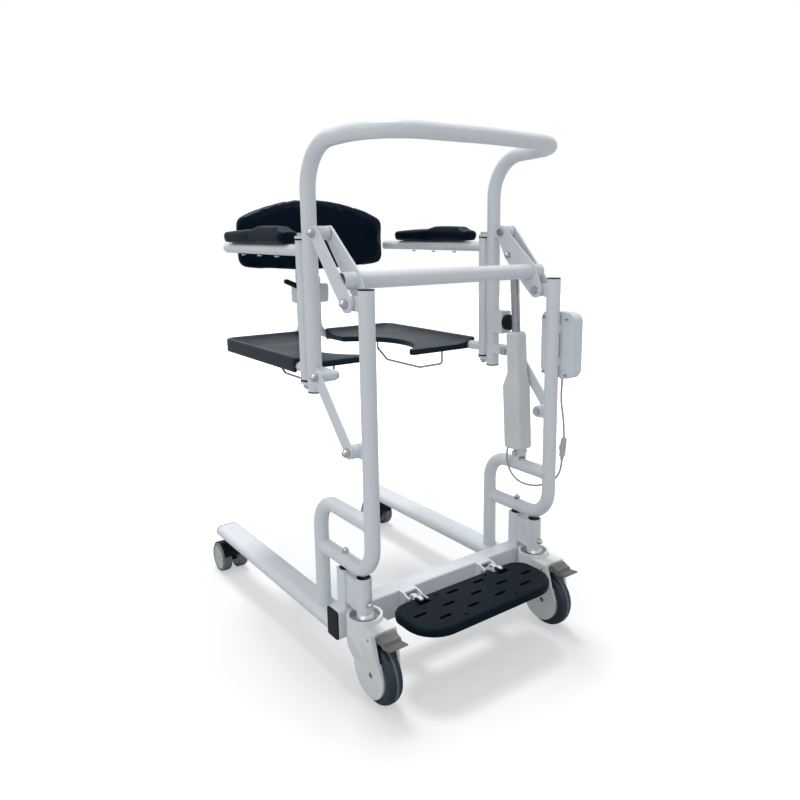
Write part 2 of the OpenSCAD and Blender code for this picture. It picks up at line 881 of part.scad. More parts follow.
// Front outline of the fork: wide at the head, narrow beside the wheel
module fork_front(head_half) {
  polygon([
    [-cheek_out, 0], [cheek_out, 0], [cheek_out + 1, front_r + 12], [head_half, bridge_z - 22],
    [head_half, bridge_z + 20], [-head_half, bridge_z + 20], [-head_half, bridge_z - 22],
    [-cheek_out - 1, front_r + 12]
  ]);
}

// One-piece moulded fork that hides the wheel between two cheeks
module front_fork() {
  head_x = socket_x - head_d;
  color("#dfe3e4")
  difference() {
    union() {
      intersection() {
        along_x(head_x, head_x + 2 * head_d) fork_outline();
        translate([socket_x, 0, 0]) along_y(-200, socket_y + 10) fork_front(nose_half);
      }
      intersection() {
        bar_z(socket_x, socket_y, 70, head_top, head_d);
        translate([socket_x, 0, 0]) along_y(-200, 200) fork_front(head_d / 2);
        along_x(head_x, head_x + 2 * head_d) {
          fork_outline();
          translate([socket_y - head_d / 2, bridge_z - 10]) square([head_d, 40]);
        }
      }
    }
    bar_x(front_axle, socket_x - cheek_in, socket_x + cheek_in, front_wheel_d + 7);
    bar_z(socket_x, socket_y, bridge_z, head_top + 1, head_d - 10);
    bar_z(socket_x, socket_y, bridge_z - 50, bridge_z + 1, stem_pin_d + 2 * fit);
    translate([socket_x - pedal_w / 2 - 1, -200, 100])
      cube([pedal_w + 2, 200 + pedal_pin.x + 8, bridge_z - 1 - 100]);
    bar_x(front_axle, socket_x - 40, socket_x + 40, axle_d);
    bar_x(pedal_pin, socket_x - 40, socket_x + 40, pedal_pin_d);
  }
}

// Wheel with a crowned tyre, a narrow groove and a plain bore
module front_wheel() {
  w = front_wheel_w / 2;
  bore = axle_d / 2 + fit;
  color("#3b4652")
  translate([socket_x, front_axle_y, front_r]) rotate([0, 90, 0])
    rotate_extrude()
      polygon([
        [bore, -w], [18, -w], [20, -w + 3], [42, -w + 3], [44, -w], [front_r - 9, -w],
        [front_r - 4, -w + 2.5], [front_r - 1.2, -w + 7], [front_r, -w + 12],
        [front_r, -2.4], [front_r - 0.8, -2], [front_r - 0.8, 2], [front_r, 2.4],
        [front_r, w - 12], [front_r - 1.2, w - 7], [front_r - 4, w - 2.5], [front_r - 9, w],
        [44, w], [42, w - 3], [20, w - 3], [18, w], [bore, w]
      ]);
}

// Stepped brake pedal that hinges in the nose of the fork
module brake_pedal() {
  y = pedal_pin.x;
  z = pedal_pin.y;
  color("#7b766e")
  difference() {
    along_x(socket_x - pedal_w / 2, socket_x + pedal_w / 2) {
      disc_at(pedal_pin, 12);
      polygon([
        [y, z + 6], [y - 13.5, z + 7.5], [y - 18, z + 14], [y - 24, z + 14], [y - 34, z + 9],
        [y - 40, z + 8], [y - 43, z + 2.5], [y - 63, z + 5.5], [y - 65, z + 3.5],
        [y - 50, z - 3], [y - 36, z - 5], [y - 30, z], [y, z - 4]
      ]);
    }
    bar_x(pedal_pin, socket_x - 30, socket_x + 30, pedal_pin_d + 2 * fit);
    translate([socket_x - pedal_w / 2 + 4, y - 34, z - 11]) cube([pedal_w - 8, 30, 12]);
  }
}

// Axle and pedal pin of a front caster
module front_pins() {
  color("slategray") {
    bar_x(front_axle, socket_x - cheek_out, socket_x + cheek_out, axle_d);
    bar_x(pedal_pin, socket_x - nose_half + 1, socket_x + nose_half - 1, pedal_pin_d);
  }
}

// ---- Rear casters ----

// Hooded fork of a twin-wheel caster: web, hood and swivel boss
module rear_fork() {
  hood_half = twin_gap / 2 + rear_wheel_w - 3;
  color("black")
  difference() {
    union() {
      along_x(base_x - twin_gap / 2, base_x + twin_gap / 2)
        hull() {
          disc_at(rear_axle_at, 34);
          translate([rear_swivel_y - 15, rear_boss_low]) square([30, 10]);
        }
      intersection() {
        along_x(base_x - hood_half, base_x + hood_half)
          difference() {
            disc_at(rear_axle_at, rear_wheel_d + 7);
            disc_at(rear_axle_at, rear_wheel_d + 1.6);
          }
        translate([base_x - 50, rear_swivel_y - 24, rear_r + 12]) cube([100, 78, 60]);
      }
      bar_z(base_x, rear_swivel_y, rear_boss_low, leg_base - gap, 34);
    }
    bar_z(base_x, rear_swivel_y, rear_boss_low - 40, leg_base, rear_stem_d + 2 * fit);
    for (s = [-1, 1])
      bar_x(
        rear_axle_at, base_x + s * (twin_gap / 2 + 20) - 20, base_x + s * (twin_gap / 2 + 20) + 20,
        rear_wheel_d + 2
      );
    bar_x(rear_axle_at, base_x - 30, base_x + 30, frame_bolt_d);
  }
}

// Twin wheels with dished hubs
module rear_wheels() {
  r = rear_r;
  w = rear_wheel_w;
  bore = frame_bolt_d / 2 + fit;
  color("#c5cdc8")
  for (s = [-1, 1])
    translate([base_x + s * twin_in, rear_axle_y, rear_r])
      rotate([0, 90 * s, 0])
        rotate_extrude()
          polygon([
            [bore, 0], [r - 2, 0], [r, 3], [r, w - 4], [r - 2.5, w], [r - 7, w],
            [r - 8.5, w - 2], [14, w - 5], [12, w - 3], [bore, w - 3]
          ]);
}

module rear_axle() {
  half = twin_in + rear_wheel_w - 3;
  color("silver") bar_x(rear_axle_at, base_x - half, base_x + half, frame_bolt_d);
}

// ---- Lift linkage ----

// Plate of the upper link. The inner one is bored for the cross tube, the outer one closes its end
module link_plate_outline(with_rod, inner) {
  difference() {
    union() {
      if (inner)
        for (end = [[pivot, 34], [pivot + link_vector, 28]])
          hull() {
            disc_at(end[0], end[1]);
            disc_at(cross_at, cross_d + 9);
          }
      hull() {
        disc_at(pivot, 34);
        if (with_rod) disc_at(rod_pin, 27);
        disc_at(pivot + link_vector, 28);
      }
    }
    disc_at(pivot, bolt_d);
    disc_at(pivot + link_vector, bolt_d);
    if (inner) disc_at(cross_at, cross_d);
    if (with_rod) disc_at(rod_pin, frame_bolt_d);
  }
}

module link(with_rod) {
  color("white") {
    along_x(link_x - plate_out, link_x - plate_in) link_plate_outline(with_rod, true);
    along_x(link_x + plate_in, link_x + plate_out) link_plate_outline(with_rod, false);
  }
}

module cross_tube() {
  color("white")
  difference() {
    bar_x(cross_at, -link_x - plate_in, link_x + plate_in, cross_d);
    bar_x(cross_at, -link_x - plate_out, link_x + plate_out, cross_d - 4);
  }
}

// Pivot bolts of the upper links and the two studs of the rod eye
module link_bolts() {
  color("silver") {
    both()
      for (at = [pivot, pivot + link_vector])
        bolt_x(at, link_x - plate_out, link_x + plate_out, bolt_d);
    for (s = [-1, 1]) {
      x = link_x + s * plate_out;
      bar_x(rod_pin, x - (s > 0 ? link_t : 0), x + (s < 0 ? link_t : 0), frame_bolt_d);
      translate([x, rod_pin.x, rod_pin.y]) rotate([0, 90 * s, 0]) dome_nut(frame_bolt_d);
    }
  }
}

// Thrust washers beside the pivot lugs
module link_bushes() {
  color("black")
  both()
    for (at = [pivot, pivot + link_vector], s = [-1, 1]) {
      x = link_x + s * (plate_in - 0.65);
      difference() {
        bar_x(at, x - 0.65, x + 0.65, lug_d - 2);
        bar_x(at, x - 2, x + 2, bolt_d);
      }
    }
}

// The two lower links: flat bars on the outer sides
module lower_links() {
  color("white")
  both()
    along_x(low_link_x - low_link_t / 2, low_link_x + low_link_t / 2)
      difference() {
        hull() {
          disc_at(low_pivot, lug_d);
          disc_at(low_pivot + link_vector, lug_d);
        }
        disc_at(low_pivot, bolt_d);
        disc_at(low_pivot + link_vector, bolt_d);
      }
}

module lower_link_bolts() {
  color("silver")
  both()
    for (at = [low_pivot, low_pivot + link_vector])
      bolt_x(at, link_x - lug_half - gap, low_link_x + low_link_t / 2, bolt_d);
}

// ---- Lift frame ----

// Lug in front of an upright, bored for a pivot bolt
module upright_lug(at, x1, d) {
  difference() {
    union() {
      bar_x(at, link_x - lug_half, x1, d);
      along_x(link_x - 9, link_x + 9)
        translate([at.x, at.y - d / 2]) square([upright_y - 8 - at.x, d]);
    }
    bar_z(upright_x, upright_y, at.y - 20, at.y + 20, tube_bore);
    bar_x(at, link_x - 20, x1 + 1, bolt_d + 2 * fit);
  }
}

// Flat plate that carries one end of a seat hinge
module hinge_plate(z) {
  difference() {
    translate([0, 0, z])
      linear_extrude(hinge_plate_t)
        hull() {
          translate([upright_x, upright_y + 6]) circle(d = 24);
          translate([hinge_x, hinge_y]) circle(d = 26);
        }
    bar_z(upright_x, upright_y, z - 1, z + hinge_plate_t + 1, tube_bore);
    bar_z(hinge_x, hinge_y, z - 1, z + hinge_plate_t + 1, bolt_d);
  }
}

// Uprights and push bar in one bent tube, with pivot lugs and hinge plates
module lift_frame() {
  low_at = low_pivot + link_vector;
  top_at = pivot + link_vector;
  color("white") {
    bent_tube(
      [
        [-upright_x, upright_y, upright_low], [-upright_x, upright_y, bar_z - 8],
        [-upright_x + 4, -bar_reach, bar_z], [0, -bar_reach - bar_bow, bar_z],
        [upright_x - 4, -bar_reach, bar_z], [upright_x, upright_y, bar_z - 8],
        [upright_x, upright_y, upright_low]
      ],
      [upright_bend, bar_bend, 400, bar_bend, upright_bend], tube_d, tube_wall
    );
    both() {
      upright_lug(top_at, link_x + lug_half, lug_d);
      upright_lug(low_at, low_link_x - low_link_t / 2 - gap, low_lug_d);
      hinge_plate(hinge_top_z);
      hinge_plate(hinge_foot_z);
    }
    stop_bracket();
  }
}

// Short box on the right upright that carries the rubber buffer
module stop_bracket() {
  difference() {
    translate([upright_x - stop_w / 2, upright_y - stop_reach, stop_z - 26])
      cube([stop_w, stop_reach - 8, 52]);
    bar_z(upright_x, upright_y, stop_z - 30, stop_z + 30, tube_bore);
  }
}

// Black plugs in the uprights and the rubber buffer
module upright_plugs() {
  color("black") {
    both() {
      bar_z(upright_x, upright_y, upright_low - plug_t, upright_low, tube_d);
      bar_z(upright_x, upright_y, upright_low, upright_low + plug_grip, tube_bore);
    }
    bar_y([upright_x + 3, stop_z], upright_y - stop_reach - 11, upright_y - stop_reach, 36);
  }
}

// Upper and lower seat hinge bolts
module hinge_bolts() {
  reach = 40;
  color("silver")
  both() {
    bar_z(hinge_x, hinge_y, hinge_high - reach, hinge_top_z + hinge_plate_t, bolt_d);
    translate([hinge_x, hinge_y, hinge_top_z + hinge_plate_t]) hex_head(bolt_d);
    bar_z(hinge_x, hinge_y, hinge_foot_z, hinge_low + reach, bolt_d);
    translate([hinge_x, hinge_y, hinge_foot_z]) rotate([180, 0, 0]) dome_nut(bolt_d);
  }
}

module hinge_washers() {
  color("black")
  both()
    for (z = [hinge_top_z - washer_t, hinge_foot_z + hinge_plate_t])
      difference() {
        bar_z(hinge_x, hinge_y, z, z + washer_t, hinge_d + 1);
        bar_z(hinge_x, hinge_y, z - 1, z + washer_t + 1, bolt_d);
      }
}

// ---- Seat and arms ----

// Route of the seat tube on the right: hinge, side, rear and up the column
function seat_route(top) = [
  [hinge_x, hinge_y, seat_tube_z], [side_tube_x, hinge_y + 40, seat_tube_z],
  [side_tube_x, rear_y, seat_tube_z], [column_x, rear_y, seat_tube_z], [column_x, rear_y, top]
];

module seat_tube(top, d, wall = 0) {
  bent_tube(seat_route(top), [60, seat_r, seat_r], d, wall);
}

// Tube that turns on the hinge bolts, solid at both ends to bear them
module hinge_tube() {
  block = 45;
  difference() {
    bar_z(hinge_x, hinge_y, hinge_low, hinge_high, hinge_d);
    bar_z(hinge_x, hinge_y, hinge_low + block, hinge_high - block, hinge_d - 2 * tube_wall);
    bar_z(hinge_x, hinge_y, hinge_low - 1, hinge_high + 1, bolt_d + 2 * fit);
  }
}

// Left half: the arm tube runs on behind the backrest and carries it on two bosses
module left_seat_frame() {
  run = [
    [hinge_x, hinge_y, arm_z], [hinge_x, rear_y, arm_z], [-back_boss_x - 36, rear_y, arm_z]
  ];
  color("white")
  side(-1) {
    hinge_tube();
    difference() {
      union() {
        difference() {
          seat_tube(arm_z, seat_tube_d, tube_wall);
          bar_x([rear_y, arm_z], 0, 2 * column_x, arm_d);
        }
        bent_tube(run, [arm_r], arm_d, tube_wall);
      }
      bar_z(hinge_x, hinge_y, hinge_low, hinge_high, hinge_d);
    }
    for (s = [-1, 1])
      difference() {
        bar_y([s * back_boss_x, arm_z], back_y, rear_y, 20);
        bar_x([rear_y, arm_z], s * back_boss_x - 20, s * back_boss_x + 20, arm_d);
      }
    bar_x([rear_y, arm_z], -back_boss_x - 36.5, -back_boss_x - 34, arm_d - tube_wall);
  }
}

// Right half: the arm tube ends beside the backrest and the column under it
module right_seat_frame() {
  bend = 34;
  reach = arm_r * tan(bend / 2);
  corner = [hinge_x, rear_y - arm_r + reach, arm_z];
  out = [-sin(bend), cos(bend), 0];
  color("white") {
    hinge_tube();
    difference() {
      union() {
        seat_tube(column_top, seat_tube_d, tube_wall);
        bent_tube([[hinge_x, hinge_y, arm_z], corner, corner + out * (reach + 4)], [arm_r], arm_d, tube_wall);
      }
      bar_z(hinge_x, hinge_y, hinge_low, hinge_high, hinge_d);
    }
    straight_run(corner + out * (reach + 2), corner + out * (reach + 4.5), arm_d - tube_wall, 0);
    bar_z(column_x, rear_y, column_top - 2, column_top + 0.5, seat_tube_d - tube_wall);
  }
}

// Plan of the right half of the seat, with the keyhole opening cut out
module seat_plan() {
  middle = seat_front + 148;
  rear_half = 36;
  offset(r = 10) offset(delta = -10)
    offset(r = -25) offset(delta = 25)
      difference() {
        translate([rear_half - 3, seat_front]) square([seat_half - rear_half + 3, seat_back - seat_front]);
        translate([0, middle]) scale([cutout_half, cutout_len / 2]) circle(r = 1, $fn = 72);
        translate([0, seat_front - 1]) square([rear_half + 4, middle - seat_front]);
        translate([0, middle]) square([rear_half, seat_back - middle + 1]);
        seat_corner();
      }
}

// Sharp corner that the round outer rear corner takes away
module seat_corner() {
  r = 30;
  translate([seat_half - r, seat_back - r])
    difference() {
      square(r + 1);
      circle(r = r);
    }
}

// Hollow above the seat pan, sloping up to the rim at the side and the rear
module seat_dish() {
  rim = 12;
  slope = 46;
  top = rim_top + 1;
  intersection() {
    along_y(seat_front - 1, seat_back + 1)
      polygon([
        [0, pan_top], [seat_half - rim - slope, pan_top], [seat_half - rim - slope / 2, pan_top + 2.2],
        [seat_half - rim - slope / 5, pan_top + 7], [seat_half - rim, rim_top],
        [seat_half - rim, top], [0, top]
      ]);
    along_x(0, seat_half)
      polygon([
        [seat_front - 1, pan_top], [seat_back - rim - slope, pan_top],
        [seat_back - rim - slope / 2, pan_top + 2.2], [seat_back - rim - slope / 5, pan_top + 7],
        [seat_back - rim, rim_top], [seat_back - rim, top], [seat_front - 1, top]
      ]);
  }
}

// One moulded half of the seat: pan, raised rim, skirt and the channel for the seat tube
module seat() {
  skin = 4;
  color("#3a4047")
  difference() {
    translate([0, 0, skirt_low]) linear_extrude(rim_top - skirt_low) seat_plan();
    seat_dish();
    translate([0, 0, skirt_low - 1])
      linear_extrude(pan_low - skirt_low + 1)
        intersection() {
          translate([-1, seat_front - 1]) square([seat_half - skin + 1, seat_back - skin - seat_front + 1]);
          offset(delta = 5) seat_plan();
        }
    seat_tube(arm_z, seat_tube_d + 0.6);
    bar_z(hinge_x, hinge_y, skirt_low - 5, rim_top + 5, hinge_d + 4);
    for (y = [rail_front, rail_rear]) bar_z(rail_x, y, pan_low - 1, pan_low + 3, wire_d);
  }
}

// Padded arm rest with a raised front
module arm_pad() {
  y1 = pad_front + pad_len;
  hump = 9;
  color("#1f2126") {
    hull() {
      for (step = [[0, 3], [pad_t / 2, 0], [pad_t - 5, 1], [pad_t - 1.5, 5]])
        translate([hinge_x, pad_front + pad_len / 2, pad_low + step[0]])
          linear_extrude(1) round_rect(pad_w - 2 * step[1], pad_len - 2 * step[1], 14);
    }
    hull() {
      translate([hinge_x, pad_front + 95, pad_low + pad_t - 6])
        linear_extrude(1) round_rect(pad_w - 3, 170, 14);
      translate([hinge_x, pad_front + 84, pad_low + pad_t + hump - 1.5])
        linear_extrude(1.5) round_rect(pad_w - 16, 104, 14);
    }
  }
}

// Front view of the backrest
module back_outline(inset) {
  half = back_w / 2 - inset;
  crown = 420;
  sag = 1080;
  intersection() {
    translate([0, back_high - crown]) circle(r = crown - inset, $fn = 180);
    translate([0, back_low + sag]) circle(r = sag - inset, $fn = 360);
    translate([-half, back_low - 5]) square([2 * half, back_high - back_low + 10]);
  }
}

// Cushion of the backrest
module backrest() {
  r = 24;
  color("#16171c")
  hull()
    for (step = [[0, 7], [3, 2], [back_t / 2, 0], [back_t - 4, 2], [back_t - 0.6, 8]])
      translate([-back_shift, back_y - back_t + step[0], 0])
        along_y(0, 0.6)
          offset(r = r, $fn = 40) offset(delta = -r) back_outline(step[1]);
}

// Latch housing round a column tube, from x0 to x1
module latch(x0, x1) {
  color("white")
  difference() {
    along_y(rear_y - 16, rear_y + 16)
      translate([(x0 + x1) / 2, (latch_low + latch_high) / 2])
        round_rect(x1 - x0, latch_high - latch_low, 7);
    bar_z(column_x, rear_y, latch_low - 1, latch_high + 1, seat_tube_d);
  }
}

// Hand lever that lifts the latch, on the left half
module latch_lever() {
  front = rear_y - 26;
  back = rear_y - 17;
  knob = lever_pin + [-4, 31];
  tip = lever_pin + [-36, 16];
  color("black") {
    along_y(front, back)
      hull() {
        disc_at(lever_pin, 13);
        disc_at(tip, 12);
      }
    along_y(front, back)
      hull() {
        disc_at(lever_pin, 9);
        disc_at(knob, 7);
      }
    bar_y(lever_pin, back, back + gap, 9);
  }
}

// Wire rail under the seat that carries a bedpan
module bedpan_rail() {
  color("gray")
  bent_tube(
    [
      [rail_x, rail_front, pan_low + 3], [rail_x, rail_front, rail_low + 22],
      [rail_x, rail_front + 90, rail_low], [rail_x, rail_rear - 46, rail_low],
      [rail_x, rail_rear, rail_low + 26], [rail_x, rail_rear, pan_low + 3]
    ],
    [10, 14, 14, 10], wire_d
  );
}

// ---- Actuator ----

// Turns a shape drawn upright about the lower pin to the lean of the actuator
module lean() {
  translate([base_x, act_pin.x, act_pin.y]) rotate([-act_lean, 0, 0]) children();
}

// Actuator housing: a slim neck above a wider part that holds the motor and gears
module actuator_body() {
  taper = 26;
  back = 9;
  color("#c9ceca")
  lean()
    difference() {
      union() {
        hull() {
          translate([0, back / 2, motor_low])
            linear_extrude(2) round_rect(motor_w - 5, motor_w + back - 5, 9);
          translate([0, back / 2, motor_low + 4])
            linear_extrude(motor_len - 8) round_rect(motor_w, motor_w + back, 11);
          translate([0, 0, motor_low + motor_len + taper])
            linear_extrude(2) round_rect(neck_w, neck_w, 10);
        }
        hull() {
          translate([0, 0, motor_low + motor_len])
            linear_extrude(housing_len - motor_low - motor_len - 7) round_rect(neck_w, neck_w, 10);
          translate([0, 0, housing_len - 2])
            linear_extrude(2) round_rect(neck_w - 8, neck_w - 8, 7);
        }
        translate([-9, -9, -9]) cube([18, 18, motor_low + 10]);
      }
      translate([0, 0, rod_bore_low]) cylinder(h = housing_len, d = rod_d + 2 * fit);
      rotate([0, 90, 0]) translate([0, 0, -20]) cylinder(h = 40, d = frame_bolt_d + 2 * fit);
    }
}

// Rod with the eye that the links carry
module actuator_rod() {
  eye_w = link_gap - 5;
  color("#9aa3a8") {
    difference() {
      union() {
        lean() translate([0, 0, rod_tail]) cylinder(h = rod_len - rod_tail, d = rod_d);
        bar_x(rod_pin, link_x - eye_w / 2, link_x + eye_w / 2, 30);
      }
      bar_x(rod_pin, link_x - 20, link_x + 20, frame_bolt_d);
    }
    bar_x(rod_pin, link_x - eye_w / 2 - 1, link_x + eye_w / 2 + 1, frame_bolt_d);
  }
}

place() side(-1) leg();  // left_leg
place() side(1) leg();  // right_leg
place() crossbeam();
place() black_plugs();
place() side(-1) mast();  // left_mast
place() side(1) mast();  // right_mast
place() side(-1) rear_post();  // left_rear_post
place() side(1) rear_post();  // right_rear_post
place() side(-1) caster_post();  // left_caster_post
place() side(1) caster_post();  // right_caster_post
place() frame_bolts();
place() actuator_bracket();
place() control_box();
place() button(button_z[1]);  // up_button
place() button(button_z[0]);  // down_button
place() lead();
place() lead_connector();
place() footplate();
place() footplate_hinges();
place() caster_stems();
place() side(-1) front_fork();  // left_front_fork
place() side(1) front_fork();  // right_front_fork
place() side(-1) front_wheel();  // left_front_wheel
place() side(1) front_wheel();  // right_front_wheel
place() side(-1) brake_pedal();  // left_brake_pedal
place() side(1) brake_pedal();  // right_brake_pedal
place() side(-1) front_pins();  // left_front_pins
place() side(1) front_pins();  // right_front_pins
place() side(-1) rear_fork();  // left_rear_fork
place() side(1) rear_fork();  // right_rear_fork
place() side(-1) rear_wheels();  // left_rear_wheels
place() side(1) rear_wheels();  // right_rear_wheels
place() side(-1) rear_axle();  // left_rear_axle
place() side(1) rear_axle();  // right_rear_axle
place() side(-1) link(false);  // left_link
place() side(1) link(true);  // right_link
place() cross_tube();
place() link_bolts();
place() link_bushes();
place() lower_links();
place() lower_link_bolts();
place() lift_frame();
place() upright_plugs();
place() hinge_bolts();
place() hinge_washers();
place() left_seat_frame();
place() right_seat_frame();
place() side(-1) seat();  // left_seat
place() side(1) seat();  // right_seat
place() side(-1) arm_pad();  // left_arm_pad
place() side(1) arm_pad();  // right_arm_pad
place() backrest();
place() side(-1) latch(0, column_x + latch_side);  // left_latch
place() latch(gap, column_x + latch_wide_side);  // right_latch
place() latch_lever();
place() side(-1) bedpan_rail();  // left_bedpan_rail
place() side(1) bedpan_rail();  // right_bedpan_rail
place() actuator_body();
place() actuator_rod();
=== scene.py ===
"""Looks of the sit to stand lift: upholstery, lead, fixings, finishes and the studio.

Laid out as an add-on and run as a script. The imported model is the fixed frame.
"""

import math

import bmesh
import bpy
from bpy.props import FloatProperty, FloatVectorProperty, IntProperty, PointerProperty
from bpy.types import Operator, Panel, PropertyGroup
from mathutils import Matrix, Vector


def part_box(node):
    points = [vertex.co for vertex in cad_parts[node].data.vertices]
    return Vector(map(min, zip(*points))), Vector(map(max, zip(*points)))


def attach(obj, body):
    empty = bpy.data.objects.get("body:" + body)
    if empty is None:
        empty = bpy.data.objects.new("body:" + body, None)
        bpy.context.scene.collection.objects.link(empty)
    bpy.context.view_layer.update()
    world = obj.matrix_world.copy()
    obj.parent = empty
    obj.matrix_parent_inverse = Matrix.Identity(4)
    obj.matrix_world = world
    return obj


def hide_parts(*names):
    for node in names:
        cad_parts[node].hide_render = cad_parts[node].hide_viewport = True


bl_info = {
    "name": "Sit to Stand Lift",
    "version": (1, 0, 0),
    "blender": (4, 5, 0),
    "location": "View3D > Sidebar > Lift",
    "description": "Dresses the packed lift with its pads, lead, fixings and finishes",
    "category": "Object",
}

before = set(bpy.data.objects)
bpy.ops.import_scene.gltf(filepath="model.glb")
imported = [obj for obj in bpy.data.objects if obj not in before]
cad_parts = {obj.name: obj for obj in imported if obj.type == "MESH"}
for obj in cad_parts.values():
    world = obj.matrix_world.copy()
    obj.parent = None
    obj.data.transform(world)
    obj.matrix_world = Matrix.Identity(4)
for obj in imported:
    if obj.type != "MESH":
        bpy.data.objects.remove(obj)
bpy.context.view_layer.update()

# Where the middle of the two masts stands on the floor, in metres
MASTS = Vector((-0.00725, -0.33, 0.0))


def at(x, y, z):
    """A point given in millimetres from the middle of the masts."""
    return MASTS + Vector((x, y, z)) / 1000


# Places that fixings and welds share, in millimetres from the middle of the masts
SIDE_X = 235
LINK_X = 236
COLUMN_X = 238
SWIVEL_X, SWIVEL_Y = 232, 35
LOOP_LOW_Z, LOOP_TOP_Z = 254, 356
REAR_POST_Y, LEG_TOP_Z = 197, 125
CASTER_POST_Y, BEAM_TOP_Z = 100, 158
CROSS_TUBE_Y, CROSS_TUBE_Z = 58, 806
COLUMN_Y, ARM_TUBE_Z = 227, 857
REAR_TUBE_Y = 660
FOOTPLATE_TOP_Z = 156

# Radii of the frame's tubes, in metres
FRAME_TUBE = 0.015
COLUMN_TUBE = 0.0125
ARM_TUBE = 0.0115
WELD_LIFT = 0.0002


def middle(node):
    low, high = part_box(node)
    return (low + high) / 2


# ---- Sizes and finishes ----


def colour(name, value, description):
    return FloatVectorProperty(
        name=name, description=description, subtype="COLOR", size=3,
        default=value, min=0.0, max=1.0,
    )


def length(name, value, description, low=0.0001, high=0.1):
    return FloatProperty(
        name=name, description=description, default=value, min=low, max=high,
        unit="LENGTH", precision=4,
    )


class LiftSizes(PropertyGroup):
    pad_voxel: length("Pad Mesh", 0.0045, "Mesh size of the swollen pads")
    pad_slack: length("Pad Slack", 0.0022, "How far a pad shrinks before it is blown up")
    pad_swell: length("Pad Swell", 0.006, "Most that a point of a pad may move as it swells")
    seat_voxel: length("Seat Mesh", 0.0022, "Mesh size of the seat's mouldings")
    lead_width: length("Lead Diameter", 0.0045, "Diameter of the lead")
    weld_bead: length("Weld Bead", 0.0014, "Radius of one ripple of a weld")
    weld_pitch: length("Weld Pitch", 0.0019, "Distance between two ripples of a weld")
    screw_radius: length("Screw Head", 0.0048, "Radius of the screw heads")
    pad_pressure: FloatProperty(
        name="Pad Pressure", description="Pressure that swells a pad", default=4.0, min=0.0, max=20.0
    )
    pad_frames: IntProperty(
        name="Pad Frames", description="Steps of the pad simulation", default=18, min=2, max=60
    )


class LiftFinishes(PropertyGroup):
    powder_white: colour("Powder Coat", (0.74, 0.785, 0.81), "Paint of the tubes")
    powder_shade: colour("Powder Coat Shade", (0.70, 0.745, 0.77), "Cloudy tone in the paint")
    box_white: colour("Control Box", (0.75, 0.80, 0.84), "Moulding of the control box")
    fork_white: colour("Caster Housing", (0.81, 0.85, 0.85), "Moulding of the caster forks")
    actuator_grey: colour("Actuator", (0.74, 0.78, 0.785), "Moulding of the actuator")
    pad_black: colour("Pads", (0.0010, 0.0048, 0.0125), "Skin of the pads")
    seat_grey: colour("Seat", (0.0045, 0.0115, 0.0185), "Moulding of the seat")
    foot_black: colour("Footplate", (0.0022, 0.0062, 0.0110), "Moulding of the footplate")
    black: colour("Black Plastic", (0.004, 0.006, 0.009), "Plugs, rear forks and keys")
    tyre: colour("Tyre", (0.012, 0.026, 0.043), "Tread of the front wheels")
    tyre_band: colour("Tyre Band", (0.16, 0.175, 0.19), "Paler band in the tread")
    hub: colour("Hub", (0.50, 0.55, 0.52), "Hubs of the wheels")
    pedal: colour("Brake Pedal", (0.165, 0.160, 0.148), "Moulding of the brake pedals")
    steel: colour("Zinc Plate", (0.56, 0.58, 0.60), "Bolts, nuts and stems")
    dark_steel: colour("Dark Steel", (0.25, 0.27, 0.29), "Pins and axles")
    lead: colour("Lead", (0.42, 0.44, 0.45), "Sheath of the lead")


def sizes():
    return bpy.context.scene.lift_sizes


def finishes():
    return bpy.context.scene.lift_finishes


# ---- Shader groups ----


class Net:
    """Adds and joins the nodes of one tree."""

    def __init__(self, tree):
        self.tree = tree

    def add(self, kind, **settings):
        node = self.tree.nodes.new(kind)
        for name, value in settings.items():
            setattr(node, name, value)
        return node

    def put(self, socket, value):
        """Feeds a socket from another socket, or sets its value."""
        if isinstance(value, bpy.types.NodeSocket):
            self.tree.links.new(value, socket)
        else:
            socket.default_value = value

    def math(self, operation, a, b=None, clamp=False):
        node = self.add("ShaderNodeMath", operation=operation, use_clamp=clamp)
        self.put(node.inputs[0], a)
        if b is not None:
            self.put(node.inputs[1], b)
        return node.outputs[0]

    def noise(self, vector, scale, detail=3.0, roughness=0.55):
        node = self.add("ShaderNodeTexNoise")
        self.put(node.inputs["Vector"], vector)
        self.put(node.inputs["Scale"], scale)
        node.inputs["Detail"].default_value = detail
        node.inputs["Roughness"].default_value = roughness
        return node.outputs["Fac"]

    def spread(self, value, low, high, to_low=0.0, to_high=1.0):
        node = self.add("ShaderNodeMapRange", interpolation_type="SMOOTHSTEP")
        for socket, amount in zip(
            (node.inputs[k] for k in ("Value", "From Min", "From Max", "To Min", "To Max")),
            (value, low, high, to_low, to_high),
        ):
            self.put(socket, amount)
        return node.outputs["Result"]

    def mix(self, factor, a, b):
        node = self.add("ShaderNodeMix", data_type="RGBA")
        self.put(node.inputs[0], factor)
        self.put(node.inputs[6], a)
        self.put(node.inputs[7], b)
        return node.outputs[2]


def shader_group(name, inputs, outputs):
    tree = bpy.data.node_groups.new(name, "ShaderNodeTree")
    for label, kind, value in inputs:
        socket = tree.interface.new_socket(label, in_out="INPUT", socket_type=kind)
        socket.default_value = value
    for label, kind in outputs:
        tree.interface.new_socket(label, in_out="OUTPUT", socket_type=kind)
    net = Net(tree)
    return net, net.add("NodeGroupInput").outputs, net.add("NodeGroupOutput").inputs


NUMBER, TONE, POINT = "NodeSocketFloat", "NodeSocketColor", "NodeSocketVector"


